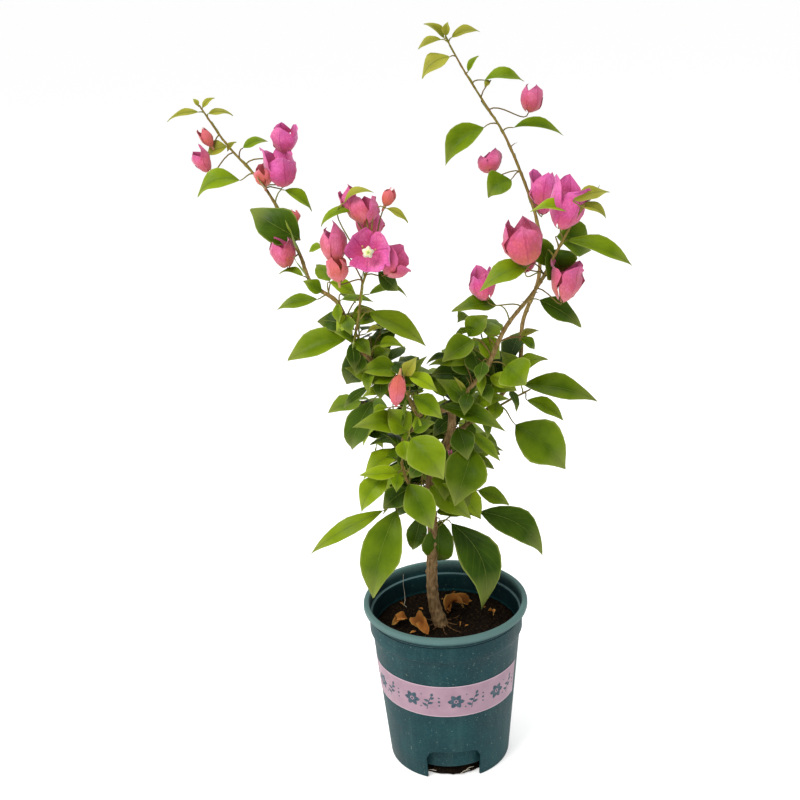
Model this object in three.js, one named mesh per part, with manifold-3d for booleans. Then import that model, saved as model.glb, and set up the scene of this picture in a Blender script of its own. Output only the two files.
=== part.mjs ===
// A young bougainvillea in a one-gallon nursery pot: a pot with three feet, its printed band, the
// soil, the trunk, the canes that fork from it, and one solid for each mass of leaves and bracts.
// Millimetres and degrees, +Z up. The layout is measured from the pot's axis at floor level, and
// the whole group is moved at the end so that its origin is under the middle of its box.
import * as THREE from "three";
import { mergeVertices } from "three/addons/utils/BufferGeometryUtils.js";
import Module from "manifold-3d";

const wasm = await Module();
wasm.setup();

// Pot
const potHeight = 173.5;
const rimRadius = 82.5;
const lipHeight = 7;
const lipThickness = 5.5;
const collarHeight = 143;
const collarRadius = 77;
const bodyTopRadius = 74.7;
const footRadius = 61.5;
const wall = 2;
const potSides = 28;

// The recessed drum under the soil, and the arches in the skirt round it
const drumRadius = 55;
const drumBottom = 9.5;
const drumTop = 38;
const archCount = 3;
const archHeight = 34;
const archAngle = 51;
const archCorner = 10;
const archTurn = -87;

// Printed band
const bandBottom = 79;
const bandTop = 115;
const bandThickness = 0.5;
const bandEnd = -21;
const bandOpening = 70;

// Soil
const soilTop = 143;
const soilFlat = 24;
const soilDip = 2;

// Clearance between solids that touch
const gap = 0.3;

// Trunk and canes. Each leg is [length, compass turn, rise above level], end to end from the foot.
const limbSides = 5;
const stepLength = 34;
const rootFlare = 2.4;
const flareHeight = 12;
const trunkFoot = [-5, 1, soilTop - 3];
const limbs = {
  trunk: {
    foot: 6.8, tip: 4,
    legs: [[29, 180, 77], [30, 180, 88], [50, 0, 87], [54, 180, 90], [52, 0, 67], [26, 0, 84]],
  },
  left_bough: {
    from: "trunk", at: 1, foot: 3.4, tip: 2.7,
    legs: [[29, 201, 6], [34, 204, 42], [41, 205, 54], [35, 209, 53]],
  },
  left_cane: {
    from: "left_bough", at: 1, foot: 2.6, tip: 1,
    legs: [[33, 154, 70], [31, 148, 28], [31, 125, 52], [71, 131, 49], [58, 151, 44], [42, 158, 54]],
  },
  left_flower_shoot: {
    from: "left_bough", at: 0.96, foot: 1.7, tip: 0.9,
    legs: [[38, 289, 54], [42, 281, 48], [28, 40, 62]],
  },
  right_bough: {
    from: "trunk", at: 1, foot: 3.2, tip: 1.2,
    legs: [[52, 342, 51], [52, 322, 62], [52, 322, 51], [42, 317, 58], [35, 310, 56], [20, 314, 52]],
  },
  tall_cane_lower: {
    from: "trunk", at: 0.88, foot: 3.1, tip: 2.1,
    legs: [[48, 12, 32], [46, 25, 48], [46, 72, 62], [44, 50, 54], [44, 80, 68]],
  },
  tall_cane_upper: {
    from: "tall_cane_lower", at: 1, foot: 2.1, tip: 0.9,
    legs: [[28, 118, 65], [74, 142, 64], [32, 148, 54], [41, 167, 58], [36, 180, 62]],
  },
  short_shoot: {
    from: "trunk", at: 0.58, foot: 2, tip: 1.1,
    legs: [[58, 243, 41], [28, 242, 66]],
  },
  bud_shoot: {
    from: "left_bough", at: 0.2, foot: 1.7, tip: 1,
    legs: [[30, 256, 12], [30, 230, 62], [20, 228, 60]],
  },
  right_twig: {
    from: "tall_cane_lower", at: 0.12, foot: 1.4, tip: 0.8,
    legs: [[40, 30, 16], [32, 40, 8]],
  },
  back_shoot: {
    from: "trunk", at: 0.66, foot: 2.2, tip: 1,
    legs: [[40, 118, 16], [45, 108, 8], [48, 98, 16]],
  },
  back_twig: {
    from: "trunk", at: 0.62, foot: 1.8, tip: 0.9,
    legs: [[40, 60, 22], [42, 72, 10]],
  },
};

// Masses of leaves and bracts. span is the stretch of the limb that one wraps, past 1 beyond its
// tip, and wide and deep are its half sizes across. Each lobe is a large leaf or bract that
// reaches out of it: where it leaves the limb, its turn, rise and length, and its width.
const lobeThickness = 10;
const masses = {
  left_tip_leaves: {
    limb: "left_cane", span: [0.82, 1.01], wide: 11, deep: 13,
    lobes: [
      [0.98, 194, -14, 36, 12], [0.95, 12, -7, 27, 11],
      [0.96, 10, 47, 20, 12], [0.85, 189, -38, 40, 22],
    ],
  },
  left_top_bracts: {
    limb: "left_cane", span: [0.58, 0.8], wide: 12, deep: 16,
    lobes: [
      [0.64, 334, 58, 66, 30], [0.66, 14, 34, 54, 36],
      [0.71, 184, -24, 58, 24], [0.75, 44, 14, 40, 14],
    ],
  },
  left_middle_leaves: {
    limb: "left_cane", span: [0.33, 0.56], wide: 12, deep: 15,
    lobes: [[0.42, 184, 38, 52, 28], [0.38, 222, 2, 34, 30], [0.48, 32, 14, 34, 26], [0.45, 90, 10, 42, 28]],
  },
  left_flower_bracts: {
    limb: "left_flower_shoot", span: [0.45, 1.2], wide: 23, deep: 19,
    lobes: [
      [0.68, 184, 34, 44, 34], [0.79, 356, 2, 50, 34], [1, 27, 24, 42, 26],
      [1.1, 176, 48, 46, 30], [1, 10, 70, 58, 24],
    ],
  },
  left_joint_leaves: {
    limb: "left_cane", span: [0.02, 0.28], wide: 17, deep: 16,
    lobes: [[0.2, 191, -16, 45, 20], [0.12, 8, 3, 62, 18], [0.16, 90, 12, 52, 30], [0.22, 164, 20, 38, 16]],
  },
  left_shoulder_leaves: {
    limb: "left_bough", span: [0.68, 0.98], wide: 22, deep: 20,
    lobes: [
      [0.97, 192, -10, 60, 26], [0.92, 349, -1, 66, 24],
      [0.72, 208, -44, 48, 30], [0.85, 80, 0, 55, 36],
    ],
  },
  left_inner_leaves: {
    limb: "left_bough", span: [0.26, 0.64], wide: 20, deep: 19,
    lobes: [
      [0.43, 184, 28, 48, 22], [0.24, 190, -13, 74, 28],
      [0.43, 159, -48, 84, 34], [0.62, 30, 8, 38, 26],
    ],
  },
  bud_leaves: {
    limb: "bud_shoot", span: [0.42, 1.15], wide: 17, deep: 14,
    lobes: [[0.54, 4, 34, 34, 22], [0.54, 12, -16, 36, 24], [0.8, 190, 4, 26, 18]],
  },
  short_shoot_leaves: {
    limb: "short_shoot", span: [0.42, 1.2], wide: 21, deep: 17,
    lobes: [
      [1.05, 184, -12, 44, 28], [0.62, 184, -34, 118, 24],
      [0.47, 204, -64, 117, 42], [0.62, 330, -62, 50, 28],
    ],
  },
  centre_leaves: {
    limb: "trunk", span: [0.64, 0.95], wide: 22, deep: 20,
    lobes: [
      [0.84, 268, -21, 50, 48], [0.74, 293, -20, 60, 46],
      [0.63, 16, -14, 74, 26], [0.8, 80, -24, 56, 40],
    ],
  },
  low_leaves: {
    limb: "trunk", span: [0.44, 0.6], wide: 16, deep: 15,
    lobes: [
      [0.52, 322, -56, 106, 38], [0.57, 352, -24, 118, 36],
      [0.52, 155, -58, 50, 24], [0.5, 100, -24, 70, 40],
    ],
  },
  right_shoulder_leaves: {
    limb: "right_bough", span: [0.08, 0.36], wide: 23, deep: 20,
    lobes: [[0.19, 184, 72, 42, 28], [0.26, 336, -20, 46, 38], [0.1, 336, 6, 54, 26], [0.1, 167, 48, 44, 20]],
  },
  right_twig_leaves: {
    limb: "right_twig", span: [0.5, 1.02], wide: 10, deep: 10,
    lobes: [
      [0.79, 7, -12, 82, 24], [0.64, 349, -54, 92, 40],
      [0.6, 20, -28, 66, 18], [0.8, 100, -14, 50, 30],
    ],
  },
  tall_cane_foot_leaves: {
    limb: "tall_cane_lower", span: [0.32, 0.56], wide: 18, deep: 17,
    lobes: [[0.44, 100, 0, 52, 34], [0.5, 20, -24, 40, 26]],
  },
  right_middle_leaves: {
    limb: "right_bough", span: [0.44, 0.62], wide: 15, deep: 15,
    lobes: [[0.42, 184, 20, 54, 20], [0.6, 184, 2, 52, 24], [0.5, 197, 45, 54, 30], [0.5, 330, -8, 30, 22]],
  },
  right_flower_bracts: {
    limb: "right_bough", span: [0.66, 0.84], wide: 15, deep: 16,
    lobes: [
      [0.73, 184, 38, 54, 42], [0.71, 356, 6, 40, 36],
      [0.66, 15, -46, 58, 26], [0.76, 115, 60, 42, 30],
    ],
  },
  right_tip_leaves: {
    limb: "right_bough", span: [0.88, 1.02], wide: 15, deep: 14,
    lobes: [
      [0.91, 356, -34, 66, 26], [0.96, 8, 32, 36, 24],
      [0.92, 184, 16, 42, 18], [0.94, 172, 68, 44, 30],
    ],
  },
  tall_cane_middle_leaves: {
    limb: "tall_cane_upper", span: [0.18, 0.38], wide: 12, deep: 14,
    lobes: [[0.26, 184, 12, 56, 34], [0.29, 10, 4, 32, 28], [0.26, 100, 10, 50, 30]],
  },
  tall_cane_high_leaves: {
    limb: "tall_cane_upper", span: [0.44, 0.6], wide: 9, deep: 12,
    lobes: [[0.52, 184, -30, 74, 28], [0.46, 6, -1, 44, 16], [0.53, 350, 48, 46, 24]],
  },
  tall_cane_top_leaves: {
    limb: "tall_cane_upper", span: [0.8, 0.99], wide: 8, deep: 10,
    lobes: [
      [0.97, 176, 14, 34, 12], [0.97, 10, -4, 28, 12], [0.98, 60, 62, 24, 11],
      [0.91, 188, -30, 40, 22], [0.8, 354, -12, 44, 18],
    ],
  },
  back_shoot_leaves: {
    limb: "back_shoot", span: [0.48, 1.15], wide: 24, deep: 18,
    lobes: [[0.8, 190, 0, 44, 30], [0.8, 15, -10, 50, 32], [0.6, 95, -50, 56, 34], [1.1, 95, 20, 40, 28]],
  },
  back_twig_leaves: {
    limb: "back_twig", span: [0.5, 1.15], wide: 20, deep: 16,
    lobes: [[0.9, 20, -14, 46, 30], [0.8, 100, -36, 60, 36]],
  },
};

const plastic = new THREE.MeshStandardMaterial({ color: 0x285555, roughness: 0.6, metalness: 0 });
const print = new THREE.MeshStandardMaterial({ color: 0xc8a0b2, roughness: 0.5, metalness: 0 });
const earth = new THREE.MeshStandardMaterial({ color: 0x2b211b, roughness: 0.95, metalness: 0 });
const bark = new THREE.MeshStandardMaterial({ color: 0x8c735f, roughness: 0.85, metalness: 0 });
const greenCane = new THREE.MeshStandardMaterial({ color: 0x6d6a35, roughness: 0.7, metalness: 0 });
const leaf = new THREE.MeshStandardMaterial({ color: 0x5a822a, roughness: 0.5, metalness: 0 });
const bract = new THREE.MeshStandardMaterial({ color: 0xc83c96, roughness: 0.65, metalness: 0 });

const up = new THREE.Vector3(0, 0, 1);
const radians = THREE.MathUtils.degToRad;

function solidOf(geometry) {
  const bare = geometry.clone();
  bare.deleteAttribute("normal");
  bare.deleteAttribute("uv");
  const merged = mergeVertices(bare, 1e-4);
  const vertProperties = merged.attributes.position.array;
  const triVerts = new Uint32Array(merged.index.array);
  return new wasm.Manifold(new wasm.Mesh({ numProp: 3, vertProperties, triVerts }));
}

function meshOf(name, solid, material) {
  const made = solid.getMesh();
  const geometry = new THREE.BufferGeometry();
  geometry.setAttribute("position", new THREE.BufferAttribute(made.vertProperties, 3));
  geometry.setIndex(new THREE.BufferAttribute(made.triVerts, 1));
  geometry.computeVertexNormals();
  const mesh = new THREE.Mesh(geometry, material);
  mesh.name = name;
  return mesh;
}

function largestBody(solid) {
  return solid.decompose().reduce((best, body) => (body.volume() > best.volume() ? body : best));
}

// A lathe about +Z. The profile is [radius, height] pairs, up the outside and down the inside.
function turned(profile) {
  const points = profile.map(([radius, height]) => new THREE.Vector2(radius, height));
  return solidOf(new THREE.LatheGeometry(points, potSides).rotateX(Math.PI / 2));
}

// The unit vector at a compass turn, counted from +X towards +Y, and a rise above level.
function heading(turn, rise) {
  const level = Math.cos(radians(rise));
  const x = level * Math.cos(radians(turn));
  const y = level * Math.sin(radians(turn));
  return new THREE.Vector3(x, y, Math.sin(radians(rise)));
}

// Outer radius of the pot's tapering wall at a height
function bodyRadius(height) {
  return footRadius + ((bodyTopRadius - footRadius) * height) / collarHeight;
}

function makePot() {
  const lipBottom = potHeight - lipHeight;
  const lipInner = rimRadius - lipThickness;
  const groove = 1.2;
  const grooveHeight = lipBottom - 5;
  const shell = turned([
    [0, drumBottom],
    [drumRadius - 2, drumBottom],
    [drumRadius, drumBottom + 2],
    [drumRadius, drumTop - wall],
    [bodyRadius(drumTop) - wall, drumTop - wall],
    [footRadius - wall - 0.5, 0],
    [footRadius, 0],
    [bodyTopRadius, collarHeight],
    [collarRadius, collarHeight + groove],
    [collarRadius, grooveHeight - groove],
    [collarRadius - groove, grooveHeight],
    [collarRadius, grooveHeight + groove],
    [collarRadius, lipBottom],
    [rimRadius - 1, lipBottom],
    [rimRadius, lipBottom + 2],
    [rimRadius, potHeight - 2],
    [rimRadius - 2, potHeight],
    [lipInner, potHeight],
    [lipInner - 1, grooveHeight],
    [collarRadius - wall - 1.2, grooveHeight - 2],
    [bodyTopRadius - wall, collarHeight],
    [bodyRadius(drumTop) - wall, drumTop],
    [drumRadius - wall, drumTop],
    [drumRadius - wall, drumBottom + wall],
    [0, drumBottom + wall],
  ]);
  const halfArch = footRadius * Math.sin(radians(archAngle / 2));
  const outline = new THREE.Shape();
  outline.moveTo(-halfArch, -1);
  outline.lineTo(halfArch, -1);
  outline.lineTo(halfArch, archHeight - archCorner);
  outline.absarc(halfArch - archCorner, archHeight - archCorner, archCorner, 0, Math.PI / 2);
  outline.absarc(archCorner - halfArch, archHeight - archCorner, archCorner, Math.PI / 2, Math.PI);
  const cut = { depth: rimRadius, bevelEnabled: false, curveSegments: 3 };
  const arch = new THREE.ExtrudeGeometry(outline, cut);
  arch.rotateX(Math.PI / 2).rotateZ(Math.PI / 2);
  const core = new THREE.CylinderGeometry(drumRadius + 1, drumRadius + 1, 3 * archHeight, potSides);
  const kept = solidOf(core.rotateX(Math.PI / 2));
  let pot = shell;
  for (let i = 0; i < archCount; i++) {
    const turn = archTurn + (i * 360) / archCount;
    const cutter = solidOf(arch.clone().rotateZ(radians(turn))).subtract(kept);
    pot = pot.subtract(cutter);
  }
  return pot;
}

// A ring round the tapering wall, less a wedge where the band stops
function makeBand() {
  const inner = bodyRadius(bandBottom) + gap;
  const flare = bodyRadius(bandTop) - bodyRadius(bandBottom);
  const ring = turned([
    [inner, bandBottom],
    [inner + bandThickness, bandBottom],
    [inner + flare + bandThickness, bandTop],
    [inner + flare, bandTop],
    [inner, bandBottom],
  ]);
  const near = heading(bandEnd, 0).multiplyScalar(2 * rimRadius);
  const far = heading(bandEnd + bandOpening, 0).multiplyScalar(2 * rimRadius);
  const corners = [[0, 0], [near.x, near.y], [far.x, far.y]];
  const outline = new THREE.Shape(corners.map(([x, y]) => new THREE.Vector2(x, y)));
  const wedge = new THREE.ExtrudeGeometry(outline, { depth: potHeight, bevelEnabled: false });
  return ring.subtract(solidOf(wedge));
}

function makeSoil() {
  const inset = wall + gap;
  return turned([
    [0, drumBottom + inset],
    [drumRadius - inset, drumBottom + inset],
    [drumRadius - inset, drumTop + gap],
    [bodyRadius(drumTop) - inset - 0.2, drumTop + gap],
    [bodyRadius(soilTop) - inset - 0.3, soilTop - soilDip],
    [soilFlat, soilTop],
    [0, soilTop],
  ]);
}

// The smooth centre line through a limb's legs
function centreLine(start, legs) {
  const points = [start.clone()];
  for (const [length, turn, rise] of legs) {
    const last = points[points.length - 1];
    points.push(last.clone().addScaledVector(heading(turn, rise), length));
  }
  return new THREE.CatmullRomCurve3(points, false, "centripetal");
}

// A place on a centre line, carried on straight past either end
function along(line, t) {
  const held = Math.min(Math.max(t, 0), 1);
  const past = (t - held) * line.getLength();
  return line.getPointAt(held).addScaledVector(line.getTangentAt(held), past);
}

// A tapering limb: a capped cylinder bent along its centre line. grow swells it on every side.
function limbSolid(limb, grow = 0) {
  const length = limb.line.getLength();
  const steps = Math.ceil(length / stepLength);
  const shape = new THREE.CylinderGeometry(1, 1, 1, limbSides, steps);
  const frames = limb.line.computeFrenetFrames(steps);
  const place = shape.attributes.position;
  for (let i = 0; i < place.count; i++) {
    const t = place.getY(i) + 0.5;
    const step = Math.round(t * steps);
    const flare = limb.from ? 0 : rootFlare * Math.exp((-t * length) / flareHeight);
    const radius = THREE.MathUtils.lerp(limb.foot, limb.tip, t) + flare + grow;
    const end = t === 0 ? -grow / length : t === 1 ? 1 + grow / length : t;
    const p = along(limb.line, end);
    p.addScaledVector(frames.normals[step], radius * place.getX(i));
    p.addScaledVector(frames.binormals[step], -radius * place.getZ(i));
    place.setXYZ(i, p.x, p.y, p.z);
  }
  return solidOf(shape);
}

// An uneven swelling of a unit direction, from a few waves with their own phase for each seed
function uneven(x, y, z, seed) {
  const a = Math.sin(3.1 * x + 1.7 * seed) * Math.cos(2.3 * z + seed);
  const b = Math.sin(4.3 * y + 2.9 * seed + 2 * x) * Math.cos(3.7 * z - 1.3 * seed);
  return 1 + 0.16 * a + 0.12 * b;
}

// The body of a mass: a ball stretched along its stretch of limb, wide and deep across it
function sleeve(mass, line, seed, grow) {
  const [low, high] = mass.span;
  const shape = new THREE.IcosahedronGeometry(1, 1);
  const place = shape.attributes.position;
  const middle = line.getTangentAt(Math.min(Math.max((low + high) / 2, 0), 1));
  const side = new THREE.Vector3().crossVectors(middle, heading(90, 0)).normalize();
  if (Math.abs(middle.y) > 0.8) side.set(1, 0, 0);
  const depth = new THREE.Vector3().crossVectors(side, middle).normalize();
  const stretch = grow / line.getLength();
  for (let i = 0; i < place.count; i++) {
    const [x, y, z] = [place.getX(i), place.getY(i), place.getZ(i)];
    const swell = uneven(x, y, z, seed);
    const t = THREE.MathUtils.lerp(low - stretch, high + stretch, (y + 1) / 2);
    const p = along(line, t);
    p.addScaledVector(side, x * (mass.wide * swell + grow));
    p.addScaledVector(depth, z * (mass.deep * swell + grow));
    place.setXYZ(i, p.x, p.y, p.z);
  }
  return facingOut(shape);
}

// A lobe of a mass: a flat pad from the limb out to a leaf's tip
function lobe([at, turn, rise, length, width], line, grow) {
  const way = heading(turn, rise);
  const start = along(line, at);
  const across = new THREE.Vector3().crossVectors(up, way).normalize();
  const thick = new THREE.Vector3().crossVectors(way, across);
  const shape = new THREE.SphereGeometry(1, 4, 3).toNonIndexed();
  const place = shape.attributes.position;
  for (let i = 0; i < place.count; i++) {
    const [x, y, z] = [place.getX(i), place.getY(i), place.getZ(i)];
    const p = start.clone().addScaledVector(way, length / 2 + y * (length / 2 + grow));
    p.addScaledVector(across, x * (width / 2 + grow));
    p.addScaledVector(thick, z * (lobeThickness / 2 + grow));
    place.setXYZ(i, p.x, p.y, p.z);
  }
  return facingOut(shape);
}

// The solid of a closed shape, with its faces turned round if they point inwards
function facingOut(shape) {
  const place = shape.attributes.position;
  const [a, b, c] = [new THREE.Vector3(), new THREE.Vector3(), new THREE.Vector3()];
  let volume = 0;
  for (let i = 0; i < place.count; i += 3) {
    a.fromBufferAttribute(place, i);
    b.fromBufferAttribute(place, i + 1);
    c.fromBufferAttribute(place, i + 2);
    volume += a.dot(b.cross(c));
  }
  if (volume < 0) {
    for (let i = 0; i < place.count; i += 3) {
      b.fromBufferAttribute(place, i + 1);
      c.fromBufferAttribute(place, i + 2);
      place.setXYZ(i + 1, c.x, c.y, c.z);
      place.setXYZ(i + 2, b.x, b.y, b.z);
    }
  }
  return solidOf(shape);
}

function massSolid(mass, line, seed, grow = 0) {
  const body = sleeve(mass, line, seed, grow);
  return mass.lobes.reduce((whole, row) => whole.add(lobe(row, line, grow)), body);
}

const plant = new THREE.Group();
plant.add(meshOf("pot", makePot(), plastic));
plant.add(meshOf("label_band", makeBand(), print));
plant.add(meshOf("soil", makeSoil(), earth));

// Each limb is cut back from the ones before it, so that it starts on its parent's surface, and
// the trunk has a flat cut where it stands on the soil.
const cutHeight = soilTop + gap;
const ground = new THREE.BoxGeometry(2 * rimRadius, 2 * rimRadius, cutHeight);
const wood = [solidOf(ground.translate(0, 0, cutHeight / 2))];
for (const [name, limb] of Object.entries(limbs)) {
  const start = limb.from ? along(limbs[limb.from].line, limb.at) : new THREE.Vector3(...trunkFoot);
  limb.line = centreLine(start, limb.legs);
  const cut = wood.reduce((left, grown) => left.subtract(grown), limbSolid(limb));
  wood.push(limbSolid(limb, gap));
  plant.add(meshOf(name, largestBody(cut), limb.foot > 2.5 ? bark : greenCane));
}

// Each mass is cut round the limbs, the pot and the masses before it.
const keepOut = [...wood, solidOf(plant.getObjectByName("pot").geometry)];
for (const [seed, [name, mass]] of Object.entries(masses).entries()) {
  const line = limbs[mass.limb].line;
  const cut = keepOut.reduce((left, grown) => left.subtract(grown), massSolid(mass, line, seed));
  keepOut.push(massSolid(mass, line, seed, gap));
  plant.add(meshOf(name, largestBody(cut), name.endsWith("bracts") ? bract : leaf));
}

const bounds = new THREE.Box3().setFromObject(plant);
const centre = bounds.getCenter(new THREE.Vector3());
plant.position.set(-centre.x, -centre.y, -bounds.min.z);

export default plant;
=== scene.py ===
import math
import random

import bmesh
import bpy
import numpy as np
from mathutils import Matrix, Vector, noise


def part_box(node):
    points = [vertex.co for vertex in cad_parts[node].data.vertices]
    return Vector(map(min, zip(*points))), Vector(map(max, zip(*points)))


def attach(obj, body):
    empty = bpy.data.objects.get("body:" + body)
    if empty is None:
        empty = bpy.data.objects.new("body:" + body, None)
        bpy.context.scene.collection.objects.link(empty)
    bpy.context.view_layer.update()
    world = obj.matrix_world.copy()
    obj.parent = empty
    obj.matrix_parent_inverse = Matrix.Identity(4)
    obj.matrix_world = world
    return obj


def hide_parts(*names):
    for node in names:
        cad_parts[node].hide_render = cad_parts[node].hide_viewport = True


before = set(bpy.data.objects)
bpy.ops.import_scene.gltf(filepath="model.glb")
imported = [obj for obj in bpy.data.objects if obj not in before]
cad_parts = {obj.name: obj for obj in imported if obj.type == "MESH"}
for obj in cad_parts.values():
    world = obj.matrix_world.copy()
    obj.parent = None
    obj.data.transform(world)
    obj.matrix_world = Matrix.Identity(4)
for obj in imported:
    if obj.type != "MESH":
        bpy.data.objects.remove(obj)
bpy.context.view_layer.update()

noise.seed_set(7)  # noise_vector is new on each run without it
mm = 0.001
potLow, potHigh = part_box("pot")
axis = Vector(((potLow.x + potHigh.x) / 2, (potLow.y + potHigh.y) / 2, 0))  # the pot's centre, on the floor
scene = bpy.context.scene
white = (1, 1, 1, 1)


def place(x, y, z):
    # millimetres from the pot's centre
    return axis + Vector((x, y, z)) * mm


def heading(turn, rise=0):
    # compass turn from +X towards +Y, and rise above level, in degrees
    turn, rise = math.radians(turn), math.radians(rise)
    level = math.cos(rise)
    return Vector((level * math.cos(turn), level * math.sin(turn), math.sin(rise)))


def potPoint(radius, turn, height):
    turn = math.radians(turn)
    return place(radius * math.cos(turn), radius * math.sin(turn), height)


def blend(a, b, t):
    return a + (b - a) * t


def paint(colour):
    # a screen colour, 0 to 255, as Blender's linear one; one that is linear already stays as it is
    if len(colour) == 4:
        return colour
    shares = (value / 255 for value in colour)
    return (*(v / 12.92 if v < 0.04045 else ((v + 0.055) / 1.055) ** 2.4 for v in shares), 1)


def mixed(first, second, t):
    return tuple(blend(a, b, t) for a, b in zip(paint(first), paint(second)))


def addObject(name, data):
    made = bpy.data.objects.new(name, data)
    scene.collection.objects.link(made)
    return made


def ringFaces(a, b, sides):
    # quads between two rings of points, by where each ring starts
    return [(a + i, a + (i + 1) % sides, b + (i + 1) % sides, b + i) for i in range(sides)]


def fan(tip, ring, sides):
    # triangles from one point to a ring of points
    return [(tip, ring + i, ring + (i + 1) % sides) for i in range(sides)]


def turned(faces):
    # the same faces, looking the other way
    return [(face[0], *face[:0:-1]) for face in faces]


def roundOff(mesh, sharpAngle, weld=0):
    # turns the faces outwards, and smooths every edge that isn't sharp
    tidy = bmesh.new()
    tidy.from_mesh(mesh)
    if weld:
        bmesh.ops.remove_doubles(tidy, verts=tidy.verts, dist=weld)
        bmesh.ops.dissolve_degenerate(tidy, edges=tidy.edges, dist=1e-6)
    bmesh.ops.recalc_face_normals(tidy, faces=tidy.faces)
    tidy.to_mesh(mesh)
    tidy.free()
    mesh.polygons.foreach_set("use_smooth", [True] * len(mesh.polygons))
    mesh.set_sharp_from_angle(angle=math.radians(sharpAngle))


class Heap:
    # points and faces gathered for one piece
    def __init__(self):
        self.points, self.faces, self.uvs, self.slots, self.tones = [], [], [], [], []
        self.creases = set()

    def add(self, points, faces, uvs=None, slots=None, tones=None, creases=()):
        start = len(self.points)
        self.points.extend(tuple(p) for p in points)
        self.faces.extend(tuple(start + i for i in face) for face in faces)
        self.uvs.extend(uvs or [(0.5, 0.5)] * len(points))
        self.slots.extend(slots or [0] * len(faces))
        self.tones.extend(tones or [0.5] * len(points))
        self.creases.update((start + min(pair), start + max(pair)) for pair in creases)

    def build(self, name, materials, smooth=True):
        mesh = bpy.data.meshes.new(name)
        mesh.from_pydata(self.points, [], self.faces)
        for made in materials:
            mesh.materials.append(made)
        mesh.polygons.foreach_set("material_index", self.slots)
        mesh.polygons.foreach_set("use_smooth", [smooth] * len(self.faces))
        corners = [0] * len(mesh.loops)
        mesh.loops.foreach_get("vertex_index", corners)
        layer = mesh.uv_layers.new(name="Shape")
        layer.data.foreach_set("uv", [v for corner in corners for v in self.uvs[corner]])
        mesh.attributes.new("tone", "FLOAT", "POINT").data.foreach_set("value", self.tones)
        mesh.validate()
        if self.creases:
            marks = [tuple(sorted(edge.vertices)) in self.creases for edge in mesh.edges]
            mesh.attributes.new("sharp_edge", "BOOLEAN", "EDGE").data.foreach_set("value", marks)
        return addObject(name, mesh)


def finish(piece, slot, *nodes):
    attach(piece, "root")
    if nodes:
        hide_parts(*nodes)


class Nodes:
    # short ways to add nodes to a tree and wire them up
    def __init__(self, tree):
        self.tree = tree

    def wire(self, value, socket):
        if isinstance(value, bpy.types.NodeSocket):
            self.tree.links.new(value, socket)
        else:
            socket.default_value = value

    def put(self, kind, inputs=None, out=0, **settings):
        # adds a node, and gives one of its outputs
        made = self.tree.nodes.new(kind)
        for key, value in settings.items():
            setattr(made, key, value)
        for key, value in (inputs or {}).items():
            self.wire(value, made.inputs[key])
        return made.outputs[out]

    def math(self, operation, a, b=0.0, c=0.0):
        return self.put("ShaderNodeMath", {0: a, 1: b, 2: c}, operation=operation)

    def times(self, a, b):
        return self.math("MULTIPLY", a, b)

    def plus(self, a, b):
        return self.math("ADD", a, b)

    def minus(self, a, b):
        return self.math("SUBTRACT", a, b)

    def less(self, value, limit):  # a limit in millimetres
        return self.math("LESS_THAN", value, limit * mm)

    def more(self, value, limit):
        return self.math("GREATER_THAN", value, limit * mm)

    def join(self, x=0.0, y=0.0, z=0.0):
        return self.put("ShaderNodeCombineXYZ", {0: x, 1: y, 2: z})

    def split(self, vector):
        return self.put("ShaderNodeSeparateXYZ", {0: vector}, slice(0, 3))


class Paint(Nodes):
    # a material with one shader
    def __init__(self, name, specular, **sockets):
        self.material = bpy.data.materials.new(name)
        self.material.use_nodes = True
        super().__init__(self.material.node_tree)
        self.set(Specular_IOR_Level=specular, **sockets)
        self.where = self.centred()

    def set(self, **sockets):
        shader = self.tree.nodes["Principled BSDF"]
        for key, value in sockets.items():
            self.wire(value, shader.inputs[key.replace("_", " ")])

    def centred(self, scale=(1, 1, 1)):
        back = [-a * s for a, s in zip(axis, scale)]
        where = self.put("ShaderNodeTexCoord", out="Object")
        return self.put("ShaderNodeMapping", {"Vector": where, "Location": back, "Scale": scale})

    def noise(self, scale, detail=4.0, roughness=0.55, stretch=None):
        where = self.centred(stretch) if stretch else self.where
        inputs = {"Vector": where, "Scale": scale, "Detail": detail, "Roughness": roughness}
        return self.put("ShaderNodeTexNoise", inputs)

    def blade(self):
        # place across and along a leaf, and distance from its midrib
        across, along, _ = self.split(self.put("ShaderNodeTexCoord", out="UV"))
        return across, along, self.math("ABSOLUTE", self.minus(across, 0.5))

    def tone(self):
        return self.put("ShaderNodeAttribute", out="Fac", attribute_name="tone")

    def ramp(self, factor, *stops):
        made = self.tree.nodes.new("ShaderNodeValToRGB")
        self.wire(factor, made.inputs[0])
        points = made.color_ramp.elements
        while len(points) < len(stops):
            points.new(0.5)
        for point, (at, colour) in zip(points, stops):
            point.position = at
            point.color = paint(colour) if isinstance(colour, tuple) else (colour, colour, colour, 1)
        return made.outputs["Color"]

    def fade(self, factor, low, high, first=0.3, last=0.7):
        return self.ramp(factor, (first, low), (last, high))

    def mix(self, factor, a, b):
        a, b = (paint(c) if isinstance(c, tuple) else c for c in (a, b))
        return self.put("ShaderNodeMix", {0: factor, 6: a, 7: b}, 2, data_type="RGBA")

    def done(self, colour, rough, height=None, strength=0.0, distance=0.0):
        # wires up the shader, with a bump if there is a height, and gives the material
        self.set(Base_Color=colour, Roughness=rough)
        if height is not None:
            inputs = {"Height": height, "Strength": strength, "Distance": distance}
            self.set(Normal=self.put("ShaderNodeBump", inputs))
        return self.material


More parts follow.
